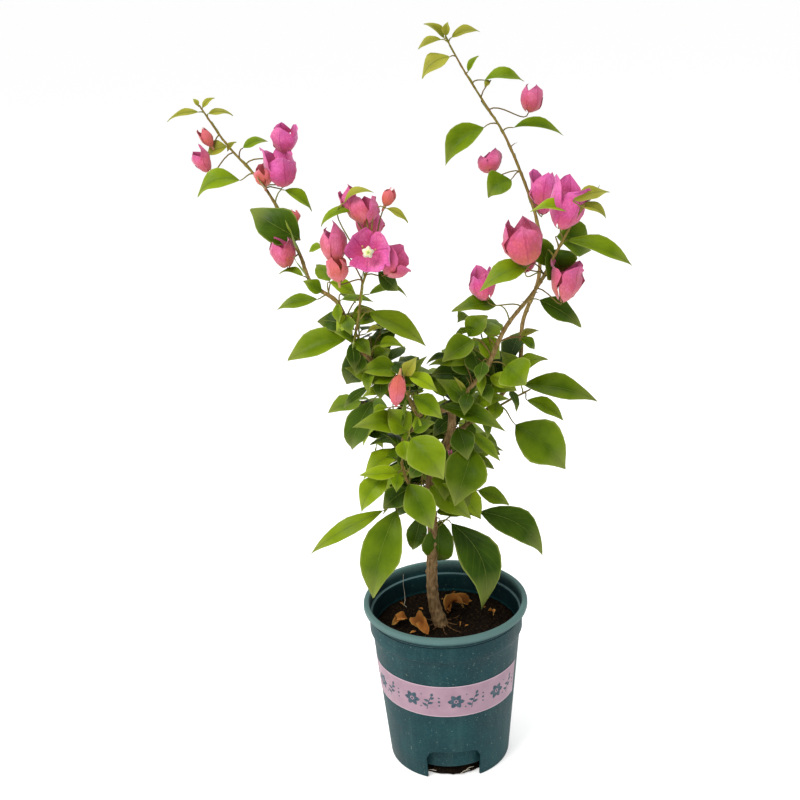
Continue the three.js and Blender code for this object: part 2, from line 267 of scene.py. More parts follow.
def plasticPaint():
    p = Paint("potPlastic", 0.14)
    x, y, height = p.split(p.where)
    away = p.math("SQRT", p.plus(p.math("POWER", x, 2), p.math("POWER", y, 2)))
    mottle = p.noise(26, 6, 0.6)
    inside = p.times(p.less(away, pot["inside"]), p.more(height, pot["soilLine"]))
    ledge = p.times(p.more(height, pot["ledgeLow"]), p.less(height, pot["ledgeTop"]))
    ledge = p.times(ledge, p.less(away, pot["ledgeRadius"]))
    lip = p.math("MULTIPLY_ADD", mottle, 0.004, height)
    low = p.math("MULTIPLY_ADD", mottle, 0.03, height)
    tint = p.ramp(mottle, (0.3, (4, 42, 48)), (0.52, (10, 53, 59)), (0.75, (20, 66, 70)))
    for mask, colour in (
        (p.fade(p.noise(1, 5, 0.6, (60, 60, 7)), 0.0, 0.16, 0.5, 0.8), (92, 120, 114)),  # streaks of dust
        (p.fade(p.noise(420, 2, 0.5), 0.0, 0.4, 0.66, 0.74), (130, 148, 134)),  # specks
        (p.fade(p.noise(800, 3, 0.7), 0.0, 0.3, 0.46, 0.72), (60, 104, 104)),  # grain
        (p.fade(lip, 0.0, 0.62, 0.1675, 0.1695), (104, 136, 132)),  # worn lip
        (p.times(inside, p.fade(low, 0.75, 0.3, 0.155, 0.186)), (12, 22, 26)),  # painted shade on the inner wall above the soil, darker lower down
        (p.times(ledge, 0.6), (110, 142, 146)),  # painted highlight on the ledge inside the rim
    ):
        tint = p.mix(mask, tint, colour)
    return p.done(tint, p.fade(mottle, 0.42, 0.62), p.noise(600, 3), 0.25, 0.0004)


def bandPaint():
    p = Paint("bandFilm", 0.35)
    height = p.split(p.where)[2]
    near = p.math("MINIMUM", p.minus(height, band["bottom"] * mm), p.minus(band["top"] * mm, height))
    tint = p.fade(p.noise(60), (146, 116, 132), (164, 134, 148))
    tint = p.mix(p.less(near, band["edge"]), tint, (190, 164, 177))
    return p.done(tint, p.fade(p.noise(150), 0.38, 0.55), p.noise(300), 0.1, 0.0003)


def soilPaint():
    p = Paint("soil", 0.08)
    grain = p.noise(500, 6, 0.7)
    tint = p.ramp(grain, (0.35, (8, 4, 2)), (0.55, (20, 12, 6)), (0.75, (92, 68, 38)))
    return p.done(tint, p.fade(grain, 0.8, 0.97), grain, 0.8, 0.0012)


def barkPaint():
    # tone runs from 0 on old grey-brown bark to 1 on green shoots
    p = Paint("bark", 0.15)
    furrow = p.noise(1.0, 6, 0.65, (420, 420, 110))
    patch = p.noise(70, 4, 0.6)
    old = p.ramp(furrow, (0.3, (84, 60, 36)), (0.5, (136, 108, 74)), (0.72, (180, 152, 116)))
    old = p.mix(p.fade(patch, 0.0, 0.5, 0.45), old, (92, 78, 34))
    old = p.mix(p.fade(p.noise(160, 2, 0.4), 0.0, 0.6, 0.66, 0.72), old, (176, 112, 52))
    young = p.ramp(furrow, (0.3, (82, 76, 22)), (0.6, (118, 110, 40)), (0.8, (144, 122, 66)))
    young = p.mix(p.fade(patch, 0.0, 0.7, 0.4), young, (120, 80, 44))
    return p.done(p.mix(p.tone(), old, young), p.fade(furrow, 0.72, 0.92), furrow, 0.5, 0.0006)


def leafPaint(name, deep, pale, vein, under=False):
    p = Paint(name, 0.05 if under else 0.1)
    _, along, side = p.blade()
    cloud = p.noise(70, 3, 0.5)
    shade = p.plus(p.times(cloud, 0.45), p.times(p.tone(), 0.4))
    tint = p.fade(p.math("MULTIPLY_ADD", side, 0.5, shade), deep, pale, 0.26, 0.8)
    # side veins sweep forwards from the midrib
    wave = p.math("PINGPONG", p.times(p.minus(along, p.times(side, 0.8)), 7.0), 0.5)
    tint = p.mix(p.fade(wave, 0.2, 0.0, 0.0, 0.1), tint, vein)
    for mask in (p.fade(along, 0.0, 0.55, 0.6, 1.0), p.fade(side, 0.0, 0.6, 0.445, 0.5)):
        tint = p.mix(mask, tint, mixed(vein, (178, 182, 100), 0.6))  # paler tip and rim: partly the leaf's own paler margin and tip, partly a painted highlight
    rough = (0.62, 0.78) if under else (0.38, 0.5)
    return p.done(tint, p.fade(cloud, *rough), p.plus(wave, p.times(cloud, 0.8)), 0.22, 0.0008)


def stalkPaint():
    p = Paint("leafStalk", 0.3)
    patch = p.noise(80)
    tint = p.mix(p.tone(), p.fade(patch, (102, 108, 30), (136, 134, 48)), (96, 62, 36))
    return p.done(tint, p.fade(patch, 0.55, 0.7))


def bractPaint(name, foot, middle, tip, vein):
    # the emission set here is a painted glow, coloured below
    p = Paint(name, 0.2, Sheen_Weight=0.25, Sheen_Roughness=0.5, Emission_Strength=0.13)
    across, along, side = p.blade()
    cloud = p.noise(110, 5, 0.65)
    shade = p.plus(along, p.math("MULTIPLY_ADD", cloud, 0.9, -0.45))
    shade = p.plus(shade, p.math("MULTIPLY_ADD", p.tone(), 0.4, -0.2))
    tint = p.ramp(shade, (0.05, foot), (0.4, middle), (0.85, tip))
    tint = p.mix(p.fade(p.noise(60, 3, 0.5), 0.0, 0.42, 0.52), tint, (216, 122, 158))
    cells = {"Vector": p.join(p.times(across, 13), p.times(along, 10)), "Scale": 1.0}
    net = p.put("ShaderNodeTexVoronoi", cells, "Distance", feature="DISTANCE_TO_EDGE")
    for mask in (p.fade(net, 0.36, 0.0, 0.0, 0.16), p.fade(side, 0.6, 0.0, 0.0, 0.035)):
        tint = p.mix(mask, tint, vein)
    p.set(Emission_Color=tint)  # painted glow: the bracts give off a little light in their own colour, standing in for light that comes through them and lifting their shaded insides
    return p.done(tint, p.fade(cloud, 0.58, 0.75), net, 0.4, 0.0008)


def starPaint():
    p = Paint("starFlower", 0.2)
    cloud = p.noise(400)
    tint = p.ramp(p.blade()[1], (0.1, (120, 150, 50)), (0.4, (224, 222, 150)), (0.7, (246, 240, 210)))
    return p.done(p.mix(p.fade(cloud, 0.0, 0.25, 0.45), tint, (210, 200, 150)), p.fade(cloud, 0.5, 0.65))


def plainPaint(name, dark, light, scale, roughs, roughScale=None, first=0.3, bump=False):
    # one mottled colour
    p = Paint(name, 0.3)
    patch = p.noise(scale)
    rough = p.fade(p.noise(roughScale or scale), *roughs)
    return p.done(p.fade(patch, dark, light, first), rough, patch if bump else None, 0.3, 0.0004)


view = {
    "distance": 1.1, "height": 0.787, "pitch": 20.0, "yaw": -1.9, "roll": -2.6, "lens": 55.5, "sensor": 36,
}
aim = axis + Vector((0, 0, 0.35))  # where the lamps point
floor = {"reach": 60.0, "below": 0.0005, "grey": 0.86, "glow": 0.42, "sky": 0.66}


def makeCamera():
    pitch, yaw, roll = (math.radians(view[k]) for k in ("pitch", "yaw", "roll"))
    ahead = Vector((math.sin(yaw) * math.cos(pitch), math.cos(yaw) * math.cos(pitch), -math.sin(pitch)))
    right = Vector((math.cos(yaw), -math.sin(yaw), 0))
    above = right.cross(ahead)
    x = math.cos(roll) * right + math.sin(roll) * above
    y = -math.sin(roll) * right + math.cos(roll) * above
    data = bpy.data.cameras.new("camera")
    data.lens, data.sensor_width = view["lens"], view["sensor"]
    scene.camera = addObject("camera", data)
    spot = axis + Vector((0, -view["distance"], view["height"]))
    scene.camera.matrix_world = Matrix(((*x, 0), (*y, 0), (*-ahead, 0), (*spot, 1))).transposed()


def makeLamp(name, turn, rise, away, size, power, colour=(1, 1, 1)):
    data = bpy.data.lights.new(name, "AREA")
    data.size, data.energy, data.color = size, power, colour
    lamp = addObject(name, data)
    lamp.location = aim + heading(turn, rise) * away
    lamp.rotation_euler = (aim - lamp.location).to_track_quat("-Z", "Y").to_euler()


def makeStage():
    reach, grey = floor["reach"], floor["grey"]
    corners = ((-reach, -reach), (reach, -reach), (reach, reach), (-reach, reach))
    heap = Heap()
    heap.add([(x, y, -floor["below"]) for x, y in corners], [(0, 1, 2, 3)])
    p = Paint("floor", 0.1, Roughness=0.9, Emission_Color=white, Emission_Strength=floor["glow"])
    p.set(Base_Color=(grey, grey, grey, 1))
    heap.build("floor", [p.material], smooth=False)
    scene.world = bpy.data.worlds.new("studio")
    scene.world.use_nodes = True
    sky = scene.world.node_tree.nodes["Background"].inputs
    sky["Color"].default_value, sky["Strength"].default_value = white, floor["sky"]
    makeLamp("keyLamp", 228, 50, 2.2, 1.0, 39, (1, 0.98, 0.94))
    makeLamp("topLamp", 80, 70, 2.2, 1.2, 14)
    scene.view_settings.view_transform = "Standard"


makeCamera()
makeStage()
print("camera, floor and lights")

pot = {
    "foot": 61.5, "bodyTop": 74.7, "collarHeight": 143, "wall": 2, "drum": 55, "drumTop": 38,
    "archHeight": 34, "archHalf": 25.5, "archCorner": 10, "archTurn": -87, "arches": 3,
    "soilLine": 143.5, "inside": 76.7, "ledgeLow": 160.1, "ledgeTop": 161.3, "ledgeRadius": 76.3,
    "weld": 2e-5, "sharp": 38, "bevel": 0.5, "bevelAngle": 55,
}


def bodyRadius(height):
    return pot["foot"] + (pot["bodyTop"] - pot["foot"]) * height / pot["collarHeight"]


def archColumns():
    # (turn, height of the skirt's edge, whether it stands on the floor) all the way round
    columns, rise = [], []
    corner, top, half = pot["archCorner"], pot["archHeight"], pot["archHalf"]
    halfWidth = pot["foot"] * math.sin(math.radians(half))
    for step in range(1, 7):
        angle = math.radians(15 * step)
        x = halfWidth - corner + corner * math.cos(angle)
        z = top - corner + corner * math.sin(angle)
        rise.append((math.degrees(math.asin(x / bodyRadius(z))), z))
    flat = [(rise[-1][0] * (1 - 2 * k / 9), top) for k in range(1, 9)]
    gap = 360 / pot["arches"]
    for number in range(pot["arches"]):
        middle = pot["archTurn"] + gap * number
        columns += [(middle - turn, z, False) for turn, z in rise + flat]
        columns += [(middle + turn, z, False) for turn, z in reversed(rise)]
        columns += [(middle + half + (gap - 2 * half) * k / 15, top - corner, True) for k in range(16)]
    return columns


def makePot():
    wall, drum, low = pot["wall"], pot["drum"], pot["drumTop"]
    inner = bodyRadius(low) - wall
    # each profile is rows of (radius, height)
    outside = [(bodyRadius(z), z) for z in (low, 60, 85, 110, 130, 141.6)]
    outside += [  # collar and groove, lip, then down the inside to the top of the drum
        (bodyRadius(143) + 0.2, 142.6), (76.6, 143.6), (77, 144.6), (77, 152), (77, 160.3), (75.9, 161.1),
        (75.9, 161.9), (77, 162.7), (77.1, 165.4), (77.9, 166.4), (81, 166.5), (82.1, 167.2), (82.5, 168.6),
        (82.5, 171), (81.9, 172.7), (80.5, 173.5), (78.6, 173.5), (77.4, 172.9), (76.8, 171.4), (76.4, 166),
        (76.2, 161.4), (76, 160.8), (74.2, 160.3), (73.7, 159.6), (73.6, 157.5), (72.7, 143), (inner, low),
        (drum - wall, low), (drum - wall, 12.5), (drum - wall - 1, 11.5), (26, 11.5), (0.01, 11.5),
    ]
    under = [
        (0.01, 9.5), (26, 9.5), (drum - 2.2, 9.5), (drum - 0.6, 10.1), (drum, 11.7), (drum, 24),
        (drum, low - wall), ((drum + inner) / 2, low - wall), (inner, low - wall),
    ]
    columns = archColumns()
    count = len(columns)
    points, faces = [], []
    for profile in (outside, under):
        start = len(points)
        for radius, height in profile:
            points += [potPoint(radius, turn, height) for turn, _, _ in columns]
        for row in range(len(profile) - 1):
            faces += ringFaces(start + row * count, start + (row + 1) * count, count)
    # the skirt hangs in front of the drum, cut away at each arch
    upper, lower = 5, 6
    rings = {}
    skins = ((bodyRadius, low), (lambda z: bodyRadius(z) - wall - 0.4 * (1 - z / low), low - wall))
    for side, (radiusAt, highest) in enumerate(skins):
        for i, (turn, edge, stands) in enumerate(columns):
            heights = [blend(highest, edge, k / upper) for k in range(upper + 1)]
            if stands:
                heights += [edge * (1 - k / lower) for k in range(1, lower + 1)]
            rings[side, i] = list(range(len(points), len(points) + len(heights)))
            points += [potPoint(radiusAt(z), turn, z) for z in heights]
    for i in range(count):
        j = (i + 1) % count
        outI, outJ, inI, inJ = rings[0, i], rings[0, j], rings[1, i], rings[1, j]
        rows = min(len(outI), len(outJ)) - 1
        for k in range(rows):
            faces.append((outI[k], outI[k + 1], outJ[k + 1], outJ[k]))
            faces.append((inI[k], inJ[k], inJ[k + 1], inI[k + 1]))
        faces.append((outI[rows], inI[rows], inJ[rows], outJ[rows]))
        if len(outI) != len(outJ):
            o, n = (outI, inI) if len(outI) > len(outJ) else (outJ, inJ)
            faces += [(o[k], o[k + 1], n[k + 1], n[k]) for k in range(upper, upper + lower)]
    mesh = bpy.data.meshes.new("nursery_pot")
    mesh.from_pydata([tuple(p) for p in points], [], faces)
    mesh.materials.append(plasticPaint())
    roundOff(mesh, pot["sharp"], pot["weld"])
    piece = addObject("nursery_pot", mesh)
    bevel = piece.modifiers.new("softEdges", "BEVEL")
    bevel.width, bevel.segments = pot["bevel"] * mm, 2
    bevel.limit_method, bevel.angle_limit = "ANGLE", math.radians(pot["bevelAngle"])
    finish(piece, "pot_plastic", "pot")


makePot()
print("pot")

band = {
    "bottom": 79, "top": 115, "start": 49, "end": 339, "film": 0.35, "sink": 0.02, "edge": 0.8, "repeats": 8,
    "steps": 145, "sharp": 35,
}


def makeBand():
    steps, low, top = band["steps"], band["bottom"], band["top"]
    corners = [(low, band["sink"]), (low, band["film"]), (top, band["film"]), (top, band["sink"])]
    rings, faces = [], []
    for k in range(steps + 1):
        turn = blend(band["start"], band["end"], k / steps)
        rings += [potPoint(bodyRadius(z) + out, turn, z) for z, out in corners]
    for k in range(steps):
        faces += turned(ringFaces(4 * k, 4 * k + 4, 4))
    faces += [(0, 1, 2, 3), (4 * steps + 3, 4 * steps + 2, 4 * steps + 1, 4 * steps)]
    heap = Heap()
    heap.add(rings, faces)
    piece = heap.build("band_film", [bandPaint()], smooth=False)
    roundOff(piece.data, band["sharp"])
    finish(piece, "band_film", "label_band")


def flatShape(heap, outline, thick=0.12):
    # a closed thin tile with this outline, drawn flat
    n = len(outline)
    points = [(x, y, z) for z in (0, thick) for x, y in outline]
    heap.add(points, [tuple(range(n, 2 * n)), tuple(reversed(range(n))), *ringFaces(0, n, n)])


def petal(x, y, turn, length, width, pointed=1.0):
    # outline of a petal or leaf that starts at x, y
    shares = [k / 13 for k in range(14)]
    half = [(length * s, width / 2 * math.sin(math.pi * s ** 0.8) ** pointed) for s in shares]
    c, s = math.cos(math.radians(turn)), math.sin(math.radians(turn))
    return [(x + r * c - h * s, y + r * s + h * c) for r, h in half + [(r, -h) for r, h in half[-2:0:-1]]]


def ribbon(a, b, width):
    dx, dy = b[0] - a[0], b[1] - a[1]
    size = math.hypot(dx, dy)
    nx, ny = -dy / size * width / 2, dx / size * width / 2
    return [(a[0] - nx, a[1] - ny), (b[0] - nx, b[1] - ny), (b[0] + nx, b[1] + ny), (a[0] + nx, a[1] + ny)]


def disc(x, y, radius, sides=14):
    turns = [k * math.tau / sides for k in range(sides)]
    return [(x + radius * math.cos(turn), y + radius * math.sin(turn)) for turn in turns]


def makeMotif():
    # blossom, sprig and dots between two lines
    heap = Heap()
    for k in range(6):
        x, y = 1.9 * math.cos(k * math.tau / 6), 1.9 * math.sin(k * math.tau / 6)
        flatShape(heap, petal(-11 + x, y, 60 * k, 6.6, 5.0, 0.7))
    flatShape(heap, disc(-11, 0, 1.2))
    stem = ((4.5, -9.5), (5.6, -4), (7.2, 1), (9.6, 6.4))
    leaves = ((5.2, -6, 150), (5.9, -3, 20), (6.8, 0, 165), (8, 2.8, 25), (9.4, 6, 70))
    dots = ((-1.6, -7, 0.9), (17, 4.5, 0.9), (17, -4.5, 0.9), (-0.6, 7.6, 0.7), (17, 0, 1.3))
    for a, b in zip(stem, stem[1:]):
        flatShape(heap, ribbon(a, b, 0.7))
    for k, (x, y, turn) in enumerate(leaves):
        flatShape(heap, petal(x, y, turn, 6.4 - 0.5 * k, 2.9, 1.1))
    for x, y, radius in dots:
        flatShape(heap, disc(x, y, radius))
    for y in (-14.6, 14.6):
        flatShape(heap, ribbon((-22.2, y), (22.2, y), 0.5), 0.1)
    ink = plainPaint("bandInk", (38, 62, 76), (66, 88, 100), 300, (0.45, 0.6), 120, 0.35)
    return heap.build("motif", [ink], smooth=False)


def newTree(name, **inputs):
    # a Geometry Nodes tree with a socket of the given kind for each named input
    tree = bpy.data.node_groups.new(name, "GeometryNodeTree")
    for title, kind in {"Geometry": "Geometry", **inputs}.items():
        tree.interface.new_socket(title.replace("_", " "), in_out="INPUT", socket_type="NodeSocket" + kind)
    tree.interface.new_socket("Geometry", in_out="OUTPUT", socket_type="NodeSocketGeometry")
    return Nodes(tree), tree.nodes.new("NodeGroupInput").outputs


def endTree(g, geometry, material):
    dyed = g.put("GeometryNodeSetMaterial", {"Geometry": geometry, "Material": material})
    g.wire(dyed, g.tree.nodes.new("NodeGroupOutput").inputs[0])
    return g.tree


def wrapTree():
    # repeats a flat motif along a line, then bends the line round the tapering wall
    g, given = newTree(
        "wrapRound", Motif="Object", Repeats="Int", Spacing="Float", Start_turn="Float", Radius="Float",
        Flare="Float", Middle_height="Float", Centre="Vector", Ink="Material",
    )
    first = g.join(g.times(given["Spacing"], 0.5))
    steps = {"Count": given["Repeats"], "Offset": g.join(given["Spacing"]), "Start Location": first}
    motif = g.put("GeometryNodeObjectInfo", {"Object": given["Motif"]}, "Geometry")
    line = g.put("GeometryNodeMeshLine", steps)
    copies = g.put("GeometryNodeInstanceOnPoints", {"Points": line, "Instance": motif})
    real = g.put("GeometryNodeRealizeInstances", {0: copies})
    x, y, z = g.split(g.put("GeometryNodeInputPosition"))
    radius = g.plus(g.plus(given["Radius"], z), g.times(y, given["Flare"]))
    turn = g.plus(g.math("RADIANS", given["Start turn"]), g.math("DIVIDE", x, given["Radius"]))
    east, north = g.times(radius, g.math("COSINE", turn)), g.times(radius, g.math("SINE", turn))
    ring = g.join(east, north, g.plus(y, given["Middle height"]))
    metres = {0: ring, 1: (mm, mm, mm), 2: given["Centre"]}
    spot = g.put("ShaderNodeVectorMath", metres, operation="MULTIPLY_ADD")
    moved = g.put("GeometryNodeSetPosition", {"Geometry": real, "Position": spot})
    return endTree(g, moved, given["Ink"])


def runNodes(name, tree, inputs, base=None):
    # runs a tree on base, or on nothing, and gives back a plain mesh
    holder = addObject(name, base or bpy.data.meshes.new(name + "Base"))
    modifier = holder.modifiers.new("nodes", "NODES")
    modifier.node_group = tree
    for item in tree.interface.items_tree:
        if item.in_out == "INPUT" and item.name in inputs:
            modifier[item.identifier] = inputs[item.name]
    bpy.context.view_layer.update()
    made = bpy.data.meshes.new_from_object(holder.evaluated_get(bpy.context.evaluated_depsgraph_get()))
    made.name = name
    holder.modifiers.clear()
    holder.data = made
    return holder


def makePrint():
    motif = makeMotif()
    middle = (band["bottom"] + band["top"]) / 2
    radius = bodyRadius(middle) + band["film"]
    arc = math.radians(band["end"] - band["start"]) * radius
    inputs = {
        "Motif": motif, "Repeats": band["repeats"], "Spacing": arc / band["repeats"],
        "Start turn": float(band["start"]), "Radius": radius - 0.05, "Middle height": middle,
        "Flare": (pot["bodyTop"] - pot["foot"]) / pot["collarHeight"], "Centre": tuple(axis),
        "Ink": motif.data.materials[0],
    }
    piece = runNodes("band_print", wrapTree(), inputs)
    bpy.data.objects.remove(motif)
    finish(piece, "band_film")


makeBand()
makePrint()
print("band")

soil = {"top": 143, "flat": 24, "dip": 2, "radius": 73.4, "depth": 5, "rings": 26, "sides": 72}


def soilHeight(x, y):
    away = math.hypot(x, y)
    dip = soil["dip"] * max(0, (away - soil["flat"]) / (soil["radius"] - soil["flat"]))
    lumps = 1.1 * noise.noise(Vector((x, y, 3)) * 0.06) + 0.8 * noise.noise(Vector((x, y, 9)) * 0.19)
    return soil["top"] - dip + lumps + 0.35 * noise.noise(Vector((x, y, 1)) * 0.6)


def makeEarth(name, points, faces, *nodes):
    heap = Heap()
    heap.add(points, faces)
    finish(heap.build(name, [earth]), "soil", *nodes)


def makeSoil():
    # gives back the top surface, for the crumbs
    sides, rings, low = soil["sides"], soil["rings"], soil["top"] - soil["depth"]
    points = [place(0, 0, soilHeight(0, 0))]
    for ring in range(1, rings + 1):
        radius = soil["radius"] * ring / rings
        for side in range(sides):
            turn = math.tau * (side + 0.5 * (ring % 2)) / sides
            x, y = radius * math.cos(turn), radius * math.sin(turn)
            points.append(place(x, y, soilHeight(x, y)))
    faces = fan(0, 1, sides)
    for ring in range(rings - 1):
        faces += turned(ringFaces(1 + ring * sides, 1 + (ring + 1) * sides, sides))
    top = bpy.data.meshes.new("soilTop")
    top.from_pydata([tuple(p) for p in points], [], faces)
    edge, middle = len(points) - sides, len(points)
    points += [place(0, 0, low)] + [Vector((p.x, p.y, low * mm)) for p in points[edge:]]
    faces += turned(ringFaces(edge, middle + 1, sides)) + turned(fan(middle, middle + 1, sides))
    makeEarth("soil_bed", points, faces, "soil")
    return top


def crumbTree():
    # scatters small lumps over a surface
    g, given = newTree("scatterCrumbs", Per_square_metre="Float", Size="Float", Seed="Int", Earth="Material")
    over = {"Mesh": given["Geometry"], "Density": given["Per square metre"], "Seed": given["Seed"]}
    spots = g.put("GeometryNodeDistributePointsOnFaces", over)
    lump = g.put("GeometryNodeMeshIcoSphere", {"Radius": 0.5, "Subdivisions": 1})
    turns, sizes = {"Max": (math.tau, math.tau, math.tau)}, {"Min": (0.25, 0.3, 0.2), "Max": (1.3, 1.1, 0.8)}
    turn, grow = (g.put("FunctionNodeRandomValue", span, data_type="FLOAT_VECTOR") for span in (turns, sizes))
    size = g.put("ShaderNodeVectorMath", {0: grow, "Scale": given["Size"]}, operation="SCALE")
    copies = {"Points": spots, "Instance": lump, "Rotation": turn, "Scale": size}
    real = g.put("GeometryNodeRealizeInstances", {0: g.put("GeometryNodeInstanceOnPoints", copies)})
    return endTree(g, real, given["Earth"])


def makeShadowMass():
    # a dark lumpy plug in the soil's colour under the drum, standing in for the shadow there: painted shadow
    sides, points = 90, []
    rows = ((55.5, 0.9), (55.2, 2.2), (52.5, 4.5), (49.8, 7), (48, 9.5))  # radius and height
    for radius, height in rows:
        for side in range(sides):
            turn = math.tau * side / sides
            way = Vector((math.cos(turn), math.sin(turn), 0))
            lump = 2.6 * noise.noise(way * 7 + Vector((0, 0, height * 0.3)))
            lump += 1.2 * noise.noise(way * 22 + Vector((0, 0, height)))
            spot = way * (radius + lump - 1.5)
            points.append(place(spot.x, spot.y, height))
    points += [place(0, 0, 1.6), place(0, 0, 9.5)]
    low, high, last = len(points) - 2, len(points) - 1, (len(rows) - 1) * sides
    faces = turned(fan(low, 0, sides)) + fan(high, last, sides)
    for row in range(len(rows) - 1):
        faces += ringFaces(row * sides, (row + 1) * sides, sides)
    makeEarth("washed_soil", points, faces)


earth = soilPaint()
crumbs = {"Per square metre": 78000.0, "Size": 0.0026, "Seed": 4, "Earth": earth}
finish(runNodes("soil_crumbs", crumbTree(), crumbs, makeSoil()), "soil")
makeShadowMass()
print("soil")

# each: the limb it grows from and how far along it; radius at its foot and tip; how green it is at each;
# legs of (length, turn, rise)
limbs = {
    "trunk": {
        "foot": 6, "tip": 3.8, "age": (0.0, 0.12),
        "legs": [(29, 180, 77), (30, 180, 88), (50, 0, 87), (54, 180, 90), (52, 0, 67), (26, 0, 84)],
    },
    "left_bough": {
        "from": "trunk", "at": 1, "foot": 3.0, "tip": 2.3, "age": (0.15, 0.45),
        "legs": [(29, 201, 6), (34, 204, 42), (41, 205, 54), (35, 209, 53)],
    },
    "left_cane": {
        "from": "left_bough", "at": 1, "foot": 2.1, "tip": 0.8, "age": (0.45, 0.95),
        "legs": [(33, 154, 70), (31, 148, 28), (31, 125, 52), (71, 131, 49), (58, 151, 44), (42, 158, 54)],
    },
    "left_flower_shoot": {
        "from": "left_bough", "at": 0.96, "foot": 1.3, "tip": 0.7, "age": (0.7, 1.0),
        "legs": [(38, 289, 54), (42, 281, 48), (28, 40, 62)],
    },
    "right_bough": {
        "from": "trunk", "at": 1, "foot": 2.7, "tip": 0.9, "age": (0.15, 0.85),
        "legs": [(52, 342, 51), (52, 322, 62), (52, 322, 51), (42, 317, 58), (35, 310, 56), (20, 314, 52)],
    },
    "tall_cane_lower": {
        "from": "trunk", "at": 0.88, "foot": 2.4, "tip": 1.7, "age": (0.15, 0.65),
        "legs": [(48, 12, 32), (46, 25, 48), (46, 72, 62), (44, 50, 54), (44, 80, 68)],
    },
    "tall_cane_upper": {
        "from": "tall_cane_lower", "at": 1, "foot": 1.7, "tip": 0.75, "age": (0.65, 1.0),
        "legs": [(28, 118, 65), (74, 142, 64), (32, 148, 54), (41, 167, 58), (36, 180, 62)],
    },
    "short_shoot": {
        "from": "trunk", "at": 0.58, "foot": 2, "tip": 1.1, "age": (0.3, 0.9),
        "legs": [(58, 243, 41), (28, 242, 66)],
    },
    "bud_shoot": {
        "from": "left_bough", "at": 0.2, "foot": 1.7, "tip": 1, "age": (0.4, 0.9),
        "legs": [(30, 256, 12), (30, 230, 62), (20, 228, 60)],
    },
    "right_twig": {
        "from": "tall_cane_lower", "at": 0.12, "foot": 1.4, "tip": 0.8, "age": (0.4, 0.9),
        "legs": [(40, 30, 16), (32, 40, 8)],
    },
    "back_shoot": {
        "from": "trunk", "at": 0.66, "foot": 2.2, "tip": 1, "age": (0.2, 0.9),
        "legs": [(40, 118, 16), (45, 108, 8), (48, 98, 16)],
    },
    "back_twig": {
        "from": "trunk", "at": 0.62, "foot": 1.8, "tip": 0.9, "age": (0.3, 0.9),
        "legs": [(40, 60, 22), (42, 72, 10)],
    },
}
trunkFoot, rootFlare, flareHeight = Vector((-5, 1, 140)), 2.4, 12


def smoothLine(points):
    # a centripetal curve through the points, as close steps with the distance to each
    padded = [2 * points[0] - points[1], *points, 2 * points[-1] - points[-2]]
    line, gone = [points[0].copy()], [0.0]
    for p0, p1, p2, p3 in zip(padded, padded[1:], padded[2:], padded[3:]):
        d0, d1, d2 = ((b - a).length ** 0.5 for a, b in ((p0, p1), (p1, p2), (p2, p3)))
        t1 = ((p1 - p0) / d0 - (p2 - p0) / (d0 + d1) + (p2 - p1) / d1) * d1
        t2 = ((p2 - p1) / d1 - (p3 - p1) / (d1 + d2) + (p3 - p2) / d2) * d1
        square, cube = 3 * (p2 - p1) - 2 * t1 - t2, 2 * (p1 - p2) + t1 + t2
        line += [p1 + t1 * w + square * w * w + cube * w ** 3 for w in (step / 24 for step in range(1, 25))]
    for a, b in zip(line, line[1:]):
        gone.append(gone[-1] + (b - a).length)
    return line, gone


def along(name, t):
    # the point of a limb's centre line at this share of its length, and which way it heads
    line, gone = limbs[name]["line"]
    inside = min(max(t, 0), 1)
    want = inside * gone[-1]
    k = min(max(int(np.searchsorted(gone, want)), 1), len(line) - 1)
    ahead = (line[k] - line[k - 1]).normalized()
    share = (want - gone[k - 1]) / (gone[k] - gone[k - 1])
    return line[k - 1].lerp(line[k], share) + ahead * (t - inside) * gone[-1], ahead


def limbLength(name):
    return limbs[name]["line"][1][-1]


def limbRadius(name, t):
    limb = limbs[name]
    radius = blend(limb["foot"], limb["tip"], min(max(t, 0), 1))
    if "from" not in limb:
        radius += rootFlare * math.exp(-t * limbLength(name) / flareHeight)
    return radius


for limb in limbs.values():
    stops = [along(limb["from"], limb["at"])[0] if "from" in limb else trunkFoot]
    for length, turn, rise in limb["legs"]:
        stops.append(stops[-1] + heading(turn, rise) * length)
    limb["line"] = smoothLine(stops)


def tube(heap, line, radii, sides, tones, relief=None):
    # a closed tube along a line of points in millimetres from the pot's centre
    count, side, gone = len(line), None, 0
    radii = radii if isinstance(radii, list) else [radii] * count
    tones = tones if isinstance(tones, list) else [tones] * count
    points, uvs, shades = [], [], []
    for k, spot in enumerate(line):
        ahead = (line[min(k + 1, count - 1)] - line[max(k - 1, 0)]).normalized()
        if side is None:
            side = ahead.orthogonal().normalized() if abs(ahead.x) > 0.9 else Vector((1, 0, 0))
        side = (side - ahead * side.dot(ahead)).normalized()
        other = ahead.cross(side)
        gone += (spot - line[k - 1]).length if k else 0
        for i in range(sides):
            turn = math.tau * i / sides
            out = side * math.cos(turn) + other * math.sin(turn)
            radius = radii[k]
            if relief:
                radius += relief(spot + out * radius, gone, turn, radius)
            points.append(place(*(spot + out * radius)))
            uvs.append((i / sides, gone / 100))
            shades.append(tones[k])
    nose = line[-1] + (line[-1] - line[-2]).normalized() * radii[-1] * 0.6
    points += [place(*line[0]), place(*nose)]
    uvs += [(0.5, 0), (0.5, gone / 100)]
    shades += [tones[0], tones[-1]]
    faces = []
    for k in range(count - 1):
        faces += ringFaces(k * sides, (k + 1) * sides, sides)
    faces += turned(fan(count * sides, 0, sides)) + fan(count * sides + 1, (count - 1) * sides, sides)
    heap.add(points, faces, uvs, None, shades)


